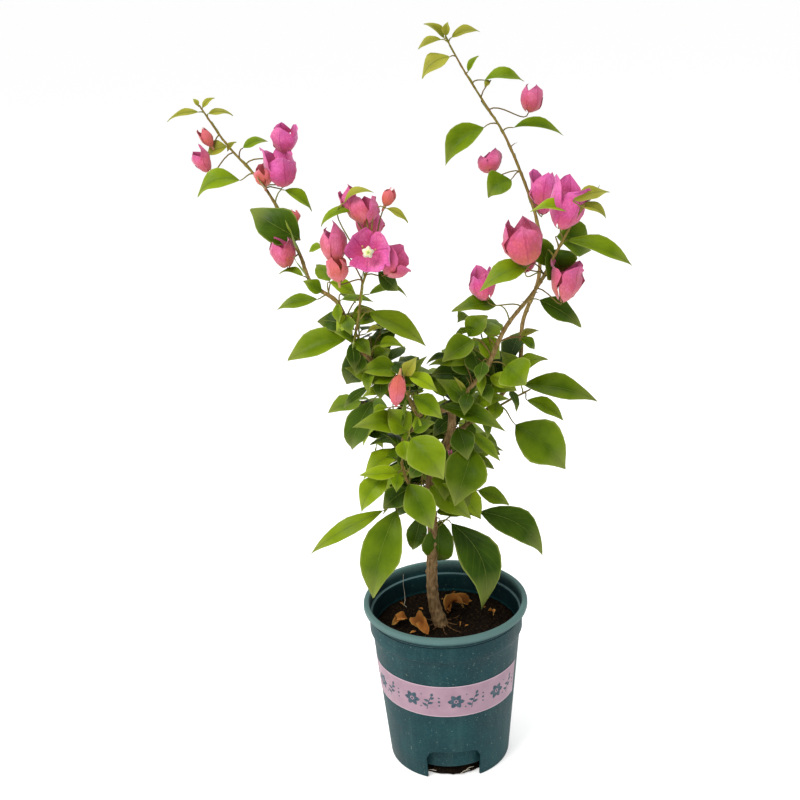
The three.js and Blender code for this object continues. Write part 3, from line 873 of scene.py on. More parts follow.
def makeLimb(name, rng):
    limb, length = limbs[name], limbLength(name)
    joints = []  # leaf joints: a swelling, and under it a small scar
    at = rng.uniform(8, 14)
    while at < length:
        joints.append((at, rng.uniform(0, math.tau)))
        at += rng.uniform(9, 17)

    def relief(spot, gone, turn, radius):
        rough = noise.noise(spot * 0.22) * 0.05 * radius
        rough += noise.noise(Vector((spot.x, spot.y, spot.z * 0.25)) * 0.9) * 0.055 * radius
        for joint, facing in joints:
            off = gone - joint
            if abs(off) < 5:
                rough += 0.1 * radius * math.exp(-(off / 1.6) ** 2)
                spread = math.cos(turn - facing)
                if spread > 0.6:
                    rough += 0.34 * radius ** 0.5 * math.exp(-(off / 1.2) ** 2) * ((spread - 0.6) / 0.4)
        return rough

    steps = max(12, int(length / 1.8))
    shares = [k / steps for k in range(steps + 1)]
    radii = [limbRadius(name, t) for t in shares]
    if "from" in limb:  # a swollen collar where it leaves its parent
        radii = [radius * (1 + 0.45 * math.exp(-t * length / 4)) for radius, t in zip(radii, shares)]
    heap = Heap()
    line, tones = [along(name, t)[0] for t in shares], [blend(*limb["age"], t) for t in shares]
    tube(heap, line, radii, 20 if limb["foot"] > 3 else 14, tones, relief)
    slot = "bark" if limb["age"][0] < 0.5 else "green_cane"
    finish(heap.build(name + "_bark", [bark]), slot, name)


bark = barkPaint()
for number, name in enumerate(limbs):
    makeLimb(name, random.Random(40 + number))
print("limbs")

# each: share of the length, and half width there as a share of the whole
leafOutline = (
    (0, 0.0), (0.03, 0.14), (0.08, 0.36), (0.16, 0.63), (0.26, 0.87), (0.37, 1.0), (0.48, 0.98), (0.59, 0.84),
    (0.7, 0.62), (0.8, 0.4), (0.89, 0.21), (0.96, 0.08), (1, 0),
)
bractOutline = (
    (0, 0.0), (0.05, 0.5), (0.14, 0.8), (0.27, 0.97), (0.4, 1.0), (0.54, 0.98), (0.67, 0.88), (0.79, 0.64),
    (0.9, 0.3), (1, 0),
)
# each: slot; deep, pale and vein colours; the CAD's masses that it stands for
# the dark tint is partly painted shade, given to inner, low and back leaves, and the bright one partly
# painted light, given to leaves in full light; the rest is the leaves' own spread of tone
leafKinds = {
    "d": (
        "leaf_dark", (28, 50, 0), (64, 90, 6), (86, 108, 24),
        "left_inner_leaves", "low_leaves", "back_twig_leaves", "right_twig_leaves", "tall_cane_foot_leaves",
    ),
    "m": (
        "leaf", (60, 86, 0), (112, 134, 10), (88, 108, 10), "left_joint_leaves", "left_middle_leaves",
        "left_shoulder_leaves", "centre_leaves", "right_middle_leaves", "back_shoot_leaves",
    ),
    "b": (
        "leaf_bright", (76, 104, 0), (134, 156, 14), (110, 132, 14), "short_shoot_leaves", "bud_leaves",
        "right_shoulder_leaves", "tall_cane_middle_leaves", "right_tip_leaves",
    ),
    "y": (
        "leaf_young", (108, 108, 22), (150, 150, 52), (150, 142, 70),
        "left_tip_leaves", "tall_cane_top_leaves", "tall_cane_high_leaves",
    ),
}
heaps = {key: Heap() for key in leafKinds}
ribs, stalks, dry = Heap(), Heap(), Heap()


def shell(heap, foot, rows, tip, across, alongs, slots, tone, thick):
    # a thin closed blade: rows of (point, normal), closed to a single point at both ends
    wide, points, uvs = len(across), [foot, tip], [(0.5, 0), (0.5, 1)]
    top, low = [], []
    for row, s in zip(rows, alongs):
        top.append(list(range(len(points), len(points) + wide)))
        points += [p for p, n in row]
        low.append([top[-1][0], *range(len(points), len(points) + wide - 2), top[-1][-1]])
        points += [p - n * thick for p, n in row[1:-1]]
        uvs += [((u + 1) / 2, s) for u in (*across, *across[1:-1])]
    faces, marks = [], []
    for sheet, slot in ((top, slots[0]), (low, slots[1])):
        made = [(0, sheet[0][c + 1], sheet[0][c]) for c in range(wide - 1)]
        for a, b in zip(sheet, sheet[1:]):  # cut the same way on both sheets, so that neither pokes through
            for c in range(wide - 1):
                made += [(a[c], a[c + 1], b[c + 1]), (a[c], b[c + 1], b[c])]
        made += [(sheet[-1][c], sheet[-1][c + 1], 1) for c in range(wide - 1)]
        faces += made if sheet is top else [tuple(reversed(f)) for f in made]
        marks += [slot] * len(made)
    rims = [[0, *(line[end] for line in top), 1] for end in (0, -1)]
    creases = [pair for rim in rims for pair in zip(rim, rim[1:])]
    heap.add([place(*p) for p in points], faces, uvs, marks, [tone] * len(points), creases)


def leafBlade(heap, base, tip, up, width, rng, fold, curl, fine, rib=True, crumple=0, bow=0.02):
    length, thick = (tip - base).length, 0.3
    ahead = (tip - base) / length
    normal = up - ahead * up.dot(ahead)
    normal = normal.normalized() if normal.length > 0.05 else ahead.orthogonal().normalized()
    side = ahead.cross(normal)
    across = (-1, -0.66, -0.33, 0, 0.33, 0.66, 1) if fine else (-1, -0.5, 0, 0.5, 1)
    outline = leafOutline[1:-1] if fine else leafOutline[2:-1:2]
    lift = math.tan(math.radians(fold))
    twist = math.radians(rng.uniform(-16, 16))
    wave, beat, size = rng.uniform(0, 6.28), rng.uniform(7, 11), rng.uniform(0.02, 0.05) * width
    bend = (bow + rng.uniform(-0.02, 0.02)) * length * (1 if side.z > 0 else -1)
    hook = rng.uniform(0.02, 0.09) * length
    rows, spine = [], []
    for s, share in outline:
        middle = base + ahead * length * s + normal * length * curl * s * (1 - s)
        middle += side * bend * 4 * s * (1 - s) - normal * hook * (s ** 4 - s)
        face = (normal - ahead * curl * (1 - 2 * s)).normalized()
        turn = twist * (s - 0.4)
        out = side * math.cos(turn) + face * math.sin(turn)
        face = face * math.cos(turn) - side * math.sin(turn)
        row = []
        for u in across:
            half = width / 2 * share * (1 + 0.05 * math.sin(wave * 2 + 13 * s + 2 * u))
            p = middle + out * half * u + face * half * (abs(u) * lift - 0.22 * u * u)
            p += face * size * u * u * math.sin(wave + beat * s + (2.1 if u > 0 else 0))
            p += noise.noise_vector(p * 0.2) * crumple
            lean = 1 if u > 0 else -1 if u < 0 else 0
            row.append((p, (face - out * lift * 0.7 * lean).normalized()))
        rows.append(row)
        spine.append(middle + face * 0.1)
    shade = rng.random()
    shell(heap, base, rows, tip, across, [s for s, _ in outline], (0, 1), shade, thick)
    if rib:
        line = [base, *spine, tip]
        thin = min(1, 0.5 + width / 40)
        tube(ribs, line, [blend(0.34, 0.1, k / (len(line) - 1)) * thin for k in range(len(line))], 3, shade)


def stalk(start, end, leave, arrive, foot, tipSize, tone):
    # a curved thin stem between two points, leaving and arriving along the given directions
    reach = (end - start).length
    a, b = start + leave * reach * 0.4, end - arrive * reach * 0.35
    steps = max(4, min(9, int(reach / 4)))
    line, radii = [], []
    for k in range(steps + 1):
        t = k / steps
        line.append(start * (1 - t) ** 3 + a * 3 * t * (1 - t) ** 2 + b * 3 * t * t * (1 - t) + end * t ** 3)
        radii.append(blend(foot, tipSize, t))
    tube(stalks, line, radii, 5, tone)
    return line


# each: where on the limb, turn, rise and length of the line to its tip; blade length, how much steeper
# than that line it hangs and how far it swings round; width; tint; how far its face tilts to the front;
# how far its midrib bows up
leafTable = {
    "left_cane": [
        (0.97, 171, -12, 38, 33, 3, 1, 11, "y", 30, -0.04),
        (0.95, 19, -1, 24, 23, 8, -4, 12, "y", 25, 0.0), (0.97, 31, 46, 17, 15, 13, -10, 7, "y", 40),
        (1, 142, 36, 10, 9, -13, 9, 5, "y", 30), (0.69, 188, -18, 57, 43, 0, 0, 22, "b", 45, 0.1),
        (0.77, 13, 26, 31, 24, 16, -1, 13, "m", 35), (0.41, 161, 33, 50, 54, 3, 6, 36, "d", 55, -0.08),
        (0.56, 14, -17, 35, 33, 26, 0, 15, "b", 30, -0.04), (0.15, 187, -9, 51, 38, 2, 0, 16, "m", 35),
        (0.1, 15, 3, 62, 37, 16, 4, 13, "m", 25), (0.16, 25, -8, 26, 29, 25, -6, 15, "b", 45),
        (0.22, 164, 18, 37, 24, 16, -2, 10, "m", 20), (0.18, 198, 35, 24, 20, -1, -2, 14, "b", 50),
        (0.1, 19, 5, 31, 30, 15, -4, 12, "m", 20), (0.04, 157, 2, 30, 31, -2, 6, 20, "d", 50),
        (0.06, 237, -29, 16, 20, 10, -21, 15, "b", 55), (0.84, 170, -30, 24, 23, -7, 4, 16, "y", 45),
        (0.82, 32, 32, 9, 12, -7, -12, 6, "y", 40),
    ],
    "left_flower_shoot": [
        (0.8, 20, -24, 32, 26, 25, 6, 16, "d", 55, -0.05), (1, 7, 40, 41, 23, 78, 2, 9, "y", 30),
        (1, 175, 31, 50, 32, 56, -1, 13, "m", 25, -0.04), (0.9, 173, 16, 52, 14, 41, -14, 9, "m", 40),
        (1, 322, 84, 55, 27, 67, 31, 10, "y", 30),
    ],
    "left_bough": [
        (0.96, 184, -14, 63, 58, 5, -1, 29, "m", 40, -0.02),
        (0.98, 352, -6, 68, 60, 26, 0, 23, "m", 40, 0.0), (0.72, 163, -53, 56, 36, -12, 1, 9, "d", 60),
        (0.6, 223, 23, 35, 39, 16, -18, 21, "b", 50), (0.25, 201, -7, 68, 57, -18, -2, 25, "m", 40),
        (0.5, 160, -55, 82, 59, 9, -8, 26, "d", 60, 0.04), (0.5, 211, -4, 35, 36, 2, -8, 15, "b", 35),
        (1, 36, 18, 36, 31, 16, -7, 22, "m", 40), (0.98, 223, 29, 23, 21, 2, -8, 16, "b", 50),
        (0.95, 332, 29, 34, 21, 6, -6, 9, "y", 30), (0.9, 308, -14, 18, 22, 21, 16, 14, "m", 50),
        (0.8, 337, 20, 38, 24, 18, -3, 13, "b", 40), (0.5, 182, 26, 52, 47, 17, -1, 32, "m", 60),
        (0.45, 27, 44, 43, 42, -3, -5, 14, "m", 35), (1, 37, 32, 32, 20, 44, 0, 8, "y", 30),
        (0.75, 25, 24, 21, 21, 0, -7, 17, "m", 50), (0.7, 155, -31, 39, 47, 19, 4, 28, "d", 60),
        (0.6, 227, 3, 28, 33, 13, -19, 21, "b", 60),
    ],
    "bud_shoot": [
        (0.95, 350, -17, 36, 31, 15, 0, 15, "b", 45), (0.6, 341, -24, 33, 34, 14, 3, 20, "b", 50),
        (1, 347, 47, 27, 22, -10, -2, 13, "y", 60), (0.3, 165, 9, 31, 28, -40, -3, 25, "m", 60),
        (0.5, 165, -10, 40, 18, 16, -13, 8, "m", 40),
    ],
    "short_shoot": [
        (0.9, 191, -2, 42, 37, -4, -2, 15, "b", 45, -0.06),
        (0.8, 196, -35, 53, 42, 14, 3, 22, "b", 60, 0.1),
        (0.62, 184, -34, 119, 84, -4, 0, 18, "m", 45, -0.01),
        (0.55, 198, -68, 118, 93, 4, 3, 39, "m", 78, 0.07), (0.66, 323, -57, 49, 49, 3, 7, 30, "m", 72),
        (0.6, 189, -38, 34, 29, -1, -1, 22, "d", 60), (1, 296, 24, 14, 19, 95, 0, 17, "b", 80),
        (1.05, 357, 46, 49, 22, 23, -1, 14, "m", 45), (1.05, 331, -16, 47, 48, 31, -1, 36, "m", 62),
        (0.9, 34, -57, 13, 23, -9, 135, 14, "d", 60), (0.8, 221, -7, 12, 10, 0, -5, 8, "b", 50),
        (0.55, 141, -60, 39, 25, -8, 3, 13, "d", 60),
    ],
    "trunk": [
        (0.76, 293, -41, 49, 59, 15, -60, 42, "m", 68), (0.63, 3, -15, 80, 36, 16, 3, 17, "m", 45),
        (0.5, 323, -56, 101, 91, 10, -7, 40, "d", 75, 0.17),
        (0.55, 3, -28, 124, 81, 12, 1, 32, "d", 55, 0.11), (0.5, 147, -57, 47, 46, 14, -9, 20, "d", 80),
        (0.55, 344, -5, 43, 37, -3, 2, 20, "b", 30), (0.5, 66, -74, 55, 52, 4, 32, 32, "d", 75),
        (0.9, 305, -39, 34, 33, 17, -8, 24, "d", 65), (0.88, 7, -32, 58, 45, 18, 2, 12, "b", 60),
        (0.98, 340, -15, 55, 67, 5, 7, 22, "m", 35), (0.62, 330, -23, 49, 51, 11, 6, 26, "m", 60),
        (0.95, 152, -44, 30, 34, 3, 9, 14, "d", 60),
    ],
    "right_bough": [
        (0.12, 36, 72, 68, 27, 35, -11, 22, "m", 40), (0.16, 16, 38, 28, 29, 83, -4, 22, "b", 55),
        (0.14, 205, 38, 43, 36, 66, -5, 24, "m", 50), (0.08, 189, 41, 49, 27, 46, 0, 10, "d", 20),
        (0.24, 337, -27, 40, 26, 12, -8, 36, "b", 60), (0.1, 340, 4, 47, 29, 27, -6, 18, "b", 40),
        (0.46, 190, 10, 57, 42, 14, 0, 20, "m", 35, -0.02),
        (0.66, 192, -6, 57, 51, 18, -1, 22, "m", 40, -0.01),
        (0.52, 356, -21, 57, 46, 14, 0, 22, "d", 45, 0.04),
        (0.82, 356, -19, 65, 61, 5, 1, 20, "m", 35, -0.05), (0.9, 196, 23, 40, 37, 18, -4, 15, "b", 30),
        (0.98, 5, 28, 27, 31, 19, -2, 16, "y", 35), (0.99, 12, -30, 23, 25, -1, -4, 12, "y", 35),
        (0.8, 36, -12, 38, 39, 14, -9, 34, "m", 50), (0.76, 71, -42, 31, 33, 10, -17, 32, "d", 65),
        (0.3, 11, 19, 45, 19, 12, 8, 10, "y", 20), (0.3, 9, -4, 37, 19, 40, 10, 10, "m", 50),
        (0.06, 165, 33, 37, 31, 36, 4, 19, "d", 50), (0.02, 203, 56, 36, 40, 13, -11, 19, "m", 55),
        (0.1, 174, 33, 45, 40, 36, 2, 14, "m", 45), (0.08, 135, -28, 16, 36, 22, 27, 24, "d", 60),
        (0.05, 231, 69, 28, 22, 11, -20, 5, "y", 50), (0.1, 140, 66, 46, 33, 10, 10, 26, "d", 60),
        (0.7, 120, 45, 34, 30, 0, 8, 22, "m", 60), (0.16, 121, 62, 35, 30, 2, 13, 22, "d", 60),
        (0.02, 25, 45, 41, 25, 1, 5, 22, "m", 60),
    ],
    "right_twig": [
        (0.85, 357, -8, 74, 76, 7, 1, 27, "m", 40, -0.04),
        (0.6, 349, -52, 89, 67, -9, 2, 44, "m", 70, 0.06), (0.9, 351, -38, 48, 42, -7, 2, 17, "b", 40),
    ],
    "tall_cane_lower": [
        (0.35, 158, 70, 32, 35, 12, 12, 22, "m", 50), (0.42, 344, 16, 30, 32, -8, 5, 20, "m", 30),
        (0.2, 323, 31, 28, 35, 19, 19, 16, "b", 50), (0.3, 302, 16, 20, 31, 23, 35, 18, "b", 55),
        (0.18, 45, 72, 47, 29, 25, -22, 24, "d", 60),
    ],
    "tall_cane_upper": [
        (0.3, 191, -36, 40, 28, -1, 1, 26, "m", 60, 0.16), (0.77, 8, -26, 15, 9, 21, 157, 7, "y", 40),
        (0.5, 186, -28, 64, 52, 14, 1, 26, "m", 50, 0.09), (0.5, 4, -7, 60, 50, 5, 0, 17, "m", 30, 0.08),
        (0.99, 175, 33, 26, 24, -2, 1, 11, "y", 35), (1, 33, 75, 14, 13, -3, 0, 8, "y", 35),
        (0.97, 7, 15, 32, 28, 7, -1, 14, "y", 35, -0.04),
        (0.97, 184, -10, 30, 24, 10, 0, 13, "y", 30, 0.03),
        (0.9, 187, -30, 39, 34, 5, -1, 19, "y", 50, 0.12), (0.81, 9, 51, 21, 18, -1, -1, 8, "m", 30),
        (0.76, 5, -1, 51, 39, 4, 0, 19, "m", 30, -0.06),
    ],
}

limbSpots = [(name, t / 60, along(name, t / 60)[0]) for name in limbs for t in range(61)]


def nearestJoint(spot):
    # the place on any limb that a leaf stalk ending at this spot would come from, a little nearer the root
    name, t, near = min(limbSpots, key=lambda row: (row[2] - spot).length)
    return along(name, max(0, t - 0.4 * (near - spot).length / limbLength(name)))


def growLeaf(
    name, rng, at, turn, rise, reach, blade, drop, swing, width, tint, tilt, bow=0.02, start=None, side=None,
):
    # one with a side given is an inner leaf of a spray, with fewer points
    spot, ahead = along(name, at)
    spot = start or spot
    tip = spot + heading(turn, rise) * reach
    way = heading(turn + swing, rise - drop)
    base = tip - way * blade
    if start is None and (base - spot).length > 13:
        spot, ahead = nearestJoint(base)
    leave = ((base - spot).normalized() + ahead * 0.8).normalized() if (base - spot).length > 1 else way
    stalk(spot, base, leave, way, blend(0.7, 0.95, min(1, width / 40)), 0.52, rng.uniform(0, 0.8))
    folds, curls = ((8, 24), (0.15, 0.5)) if side else ((16, 38), (0.25, 0.8))
    fold, curl = rng.uniform(*folds), rng.uniform(*curls)
    up = side or heading(270, 90 - tilt)
    leafBlade(heaps[tint], base, tip, up, width, rng, fold, curl, side is None, bow=bow)


leafRng = random.Random(7)
for name, rows in leafTable.items():
    for row in rows:
        growLeaf(name, leafRng, *row)

# sprays that fill the limbs in depth: first and last place, how many, length of the longest, tints to deal
# out, and whether the limb is bare enough there for the sky to show past it
sprayTable = (
    ("trunk", 0.46, 0.98, 13, 46, "dddm", False), ("left_bough", 0.06, 0.98, 16, 46, "ddmb", False),
    ("left_cane", 0.03, 0.18, 5, 36, "dmmb", False), ("left_cane", 0.22, 0.97, 19, 44, "dmmb", True),
    ("left_flower_shoot", 0.08, 0.9, 8, 38, "dmb", True), ("right_bough", 0.02, 0.3, 12, 46, "ddmmb", False),
    ("right_bough", 0.42, 0.98, 15, 46, "dmb", True), ("tall_cane_lower", 0.06, 0.38, 9, 44, "ddmb", False),
    ("tall_cane_lower", 0.54, 0.98, 9, 46, "dmb", True),
    ("tall_cane_upper", 0.04, 0.97, 17, 44, "dmmb", True),
    ("short_shoot", 0.25, 1.0, 7, 42, "dmb", False), ("bud_shoot", 0.3, 1.0, 6, 36, "dmb", False),
    ("right_twig", 0.3, 1.0, 6, 36, "dm", True), ("back_shoot", 0.12, 1.02, 22, 58, "dmmb", False),
    ("back_twig", 0.12, 1.02, 15, 56, "dmmb", False),
)
eye = (scene.camera.matrix_world.translation - axis) / mm
goldenTurn = 137.5


def edgeLeaf(name, at, size, tint, rng):
    # a leaf in the plane of the limb and the eye, so the limb hides it and the sides of the crown are full
    spot, ahead = along(name, at)
    sight = (spot - eye).normalized() * (-1 if rng.random() < 0.13 else 1)
    across = (sight - ahead * sight.dot(ahead)).normalized()
    lean = math.radians(rng.uniform(-6, 58))
    way = across * math.cos(lean) + ahead * math.sin(lean)
    face = way.cross(ahead).normalized() * rng.choice((-1, 1))
    size *= rng.uniform(0.72, 1.05)
    base = spot + across * size * rng.uniform(0.2, 0.34)
    stalk(spot, base, (across + ahead).normalized(), way, 0.8, 0.5, rng.uniform(0, 0.7))
    width, fold, curl = size * rng.uniform(0.44, 0.6), rng.uniform(3, 10), rng.uniform(0.04, 0.16)
    leafBlade(heaps[tint], base, base + way * size * 0.8, face, width, rng, fold, curl, False)


def growSprays(name, first, last, count, size, deal, bare, rng):
    turn = rng.uniform(0, 360)
    for k in range(count):
        at = blend(first, last, (k + rng.uniform(0.2, 0.8)) / count)
        tint = rng.choice(deal)
        if bare:
            edgeLeaf(name, at, size * blend(1, 0.62, at), tint, rng)
            continue
        back = k % 2 == 0 or rng.random() < 0.3
        if name.startswith("back"):  # all the way round
            turn += goldenTurn + rng.uniform(-18, 18)
            rise, reach = rng.uniform(-40, 40), size
        else:
            turn = (90 if back else 270) + rng.uniform(-28, 28)
            rise, reach = rng.uniform(*((-15, 45) if back else (-62, -18))), size * (1.2 if back else 0.62)
        reach *= rng.uniform(0.82, 1.08)
        way = heading(turn, rise)
        near = [row for row in leafTable.get(name, ()) if abs(row[0] - at) < 0.06]
        if any(heading(row[1], row[2]).dot(way) > 0.8 for row in near):
            continue
        spot, ahead = along(name, at)
        up = Vector((rng.uniform(-0.8, 0.8), rng.uniform(-0.5, 0.2), 1))
        if reach > 42 and rng.random() < 0.5:
            twigEnd = spot + heading(turn, rise + 12) * reach * 0.5
            leave, arrive = (way + ahead).normalized(), heading(turn, rise + 20)
            line = stalk(spot, twigEnd, leave, arrive, 0.95, 0.6, rng.uniform(0.1, 0.6))
            for share, swing, scale in ((0.45, 42, 0.66), (0.75, -42, 0.68), (1, 8, 0.78)):
                length = reach * scale
                growLeaf(
                    name, rng, at, turn + swing, rise + rng.uniform(-18, 12), length, length * 0.86,
                    rng.uniform(6, 24), rng.uniform(-8, 8), length * rng.uniform(0.48, 0.62), tint, 0,
                    start=line[round(share * (len(line) - 1))], side=up,
                )
        else:
            growLeaf(
                name, rng, at, turn, rise, reach, reach * rng.uniform(0.78, 0.88), rng.uniform(6, 22),
                rng.uniform(-10, 10), reach * rng.uniform(0.46, 0.62), tint, 0, side=up,
            )


for number, row in enumerate(sprayTable):
    growSprays(*row, random.Random(300 + number))

# leaves that fell on the soil, curled and dry: place, turn, length, width, fold and curl
fallen = (
    (-25, -6, 118, 26, 15, 48, 1.3), (-19, -14, 100, 17, 11, 58, 1.5), (10, 22, 10, 19, 14, 56, 1.7),
    (14, 31, 170, 19, 12, 60, 1.8), (7, 28, 80, 14, 9, 50, 1.5), (-47, 6, 200, 15, 9, 46, 1.4),
    (-52, 2, 240, 11, 8, 50, 1.4), (36, -44, 215, 12, 7, 44, 1.4), (46, 14, 300, 10, 6, 46, 1.6),
    (-30, -40, 30, 8, 5, 40, 1.4),
)
for x, y, turn, length, width, fold, curl in fallen:
    rng = random.Random(x * 7 + y)
    spot, way = Vector((x, y, soilHeight(x, y) + 2.2)), heading(turn, rng.uniform(-2, 5))
    a, b = spot - way * length / 2, spot + way * length / 2
    leafBlade(dry, a, b, heading(turn + 90, 60), width, rng, fold, curl, True, False, 1.5)
for number in range(26):  # and bits of leaf
    rng = random.Random(number)
    turn, away = rng.uniform(0, 360), rng.uniform(14, 68)
    spot = heading(turn) * away
    spot.z = soilHeight(spot.x, spot.y) + 0.9
    way = heading(rng.uniform(0, 360), rng.uniform(-8, 12)) * rng.uniform(2, 4.5)
    up, width = Vector((0.2, -0.2, 1)), rng.uniform(1.5, 3.2)
    leafBlade(dry, spot - way, spot + way, up, width, rng, 20, 0.6, False, False)

for key, (slot, *colours) in leafKinds.items():
    colours, masses = colours[:3], colours[3:]
    under = [mixed(colour, (132, 146, 56), 0.35) for colour in colours]
    materials = [leafPaint(slot + "Upper", *colours), leafPaint(slot + "Under", *under, under=True)]
    finish(heaps[key].build(slot + "_blades", materials), slot, *masses)
ribPaint = plainPaint("leafRib", (92, 112, 26), (118, 136, 40), 120, (0.5, 0.65), 60)
finish(ribs.build("leaf_ribs", [ribPaint]), "leaf_bright")
dryPaint = leafPaint("dryLeaf", (82, 42, 14), (190, 124, 60), (160, 104, 54), under=True)
finish(dry.build("fallen_leaves", [dryPaint, dryPaint]), "dry_leaf")
print("leaves", sum(len(h.faces) for h in heaps.values()))

# each: the CAD's mass that it stands for; foot, middle, tip and vein colours
bractKinds = {
    "magenta": ("left_top_bracts", (184, 76, 88), (188, 66, 120), (200, 92, 158), (138, 30, 84)),
    "pink": ("left_flower_bracts", (180, 86, 70), (182, 74, 98), (190, 86, 134), (136, 36, 64)),
    "salmon": ("right_flower_bracts", (170, 92, 56), (186, 90, 76), (190, 92, 100), (150, 56, 54)),
}
bracts = {tint: Heap() for tint in bractKinds}
flowers, tubes = Heap(), Heap()
# how a bract runs from base to tip: distance out from the axis and distance up it, as a shut bud, half open
# with spread points, and wide open
bractOut = (
    (0.1, 0.36, 0.62, 0.84, 0.98, 1.0, 0.92, 0.74, 0.5, 0.24),
    (0.1, 0.36, 0.6, 0.8, 0.95, 1.0, 0.98, 0.97, 1.04, 1.24),
    (0.06, 0.2, 0.36, 0.52, 0.66, 0.78, 0.87, 0.94, 1.0, 1.08),
)
bractUp = (
    (0, 0.04, 0.13, 0.25, 0.39, 0.54, 0.68, 0.81, 0.92, 1.0),
    (0, 0.04, 0.13, 0.25, 0.39, 0.54, 0.68, 0.8, 0.9, 0.98),
    (0, 0.16, 0.36, 0.55, 0.7, 0.82, 0.9, 0.95, 0.98, 1.0),
)


def bractRun(shut, half, wide, opened, size):
    # 0 is shut, 0.3 half open, 1 wide open
    first, second, t = (shut, half, opened / 0.3) if opened < 0.3 else (half, wide, (opened - 0.3) / 0.7)
    return [blend(a, b, t) * size for a, b in zip(first, second)]


def bract(heap, foot, axisWay, outWay, height, reach, width, opened, rng):
    sideWay = axisWay.cross(outWay)
    across = (-1, -0.75, -0.45, -0.15, 0.15, 0.45, 0.75, 1)
    wave, beat, size = rng.uniform(0, 6.28), rng.uniform(8, 13), rng.uniform(0.05, 0.11) * width
    height *= rng.uniform(0.8, 1.08)
    lean = rng.uniform(-0.22, 0.22) * height
    flat = max(0, (opened - 0.3) / 0.7)  # from a wrapped third of the bud to a flat blade
    first = 0.4 if opened > 0.9 else 0  # a wide open one has no coral left
    outs, ups = bractRun(*bractOut, opened, reach), bractRun(*bractUp, opened, height)
    rows, alongs, ends = [], [], []
    for k, (s, share) in enumerate(bractOutline):
        out, up, shift = outs[k], ups[k], sideWay * lean * s * s
        middle = foot + outWay * out + axisWay * up
        if share == 0:
            ends.append(middle + shift)
            continue
        run = (outWay * (outs[k + 1] - out) + axisWay * (ups[k + 1] - up)).normalized()
        face = run.cross(sideWay)
        face = face if face.dot(outWay) > 0 or opened > 0.5 and face.dot(axisWay) < 0 else -face
        wrap, half = math.radians(64) * min(1, share * 1.12), width / 2 * share
        row = []
        for u in across:
            angle = wrap * u
            swept = outWay * math.cos(angle) + sideWay * math.sin(angle)
            rim = 1 + 0.17 * abs(u) ** 5 + 0.07 * math.cos(u * 9) + 0.06 * (1 - abs(u))
            shut = foot + swept * out * rim + axisWay * up
            spread = middle + sideWay * half * u + face * half * 0.28 * (1 - u * u)
            p = shut.lerp(spread, flat) + shift
            ripple = math.sin(wave + beat * s + (2.4 if u > 0 else 0))
            p += face * size * (u * u + 0.15) * ripple * min(1, s * 2.2)
            p += noise.noise_vector(p * 0.16) * 0.05 * width * min(1, s * 3)
            row.append((p, swept.lerp(face, flat).normalized()))
        rows.append(row)
        alongs.append(blend(first, 1, s))
    # the outer face is the one away from the axis
    if (rows[3][5][0] - rows[3][2][0]).cross(rows[5][3][0] - rows[2][3][0]).dot(rows[3][3][1]) < 0:
        rows = [row[::-1] for row in rows]
    shell(heap, ends[0], rows, ends[1], across, alongs, (0, 0), rng.random(), 0.22)


def starFlower(base, way, length, size, opened):
    line = [base + way * length * k / 5 for k in range(6)]
    tube(tubes, line, [0.75, 0.85, 0.75, 0.62, 0.68, 0.95], 6, [k / 5 for k in range(6)])
    if not opened:
        return
    side = way.orthogonal().normalized()
    other = way.cross(side)
    centre = line[-1] + way * 0.5
    points, faces = [centre + way * 0.2, centre - way * 0.5], []
    for k in range(20):
        turn = math.tau * k / 20
        lobe = 0.85 + 0.15 * math.cos(turn * 5)
        out = side * math.cos(turn) + other * math.sin(turn)
        points.append(centre + out * (size / 2 * lobe) + way * (0.3 + 0.5 * lobe * lobe))
        faces += [(0, 2 + k, 2 + (k + 1) % 20), (1, 2 + (k + 1) % 20, 2 + k)]
    flowers.add([place(*p) for p in points], faces, [(0.5, 0)] * 2 + [(0.5, 1)] * 20)


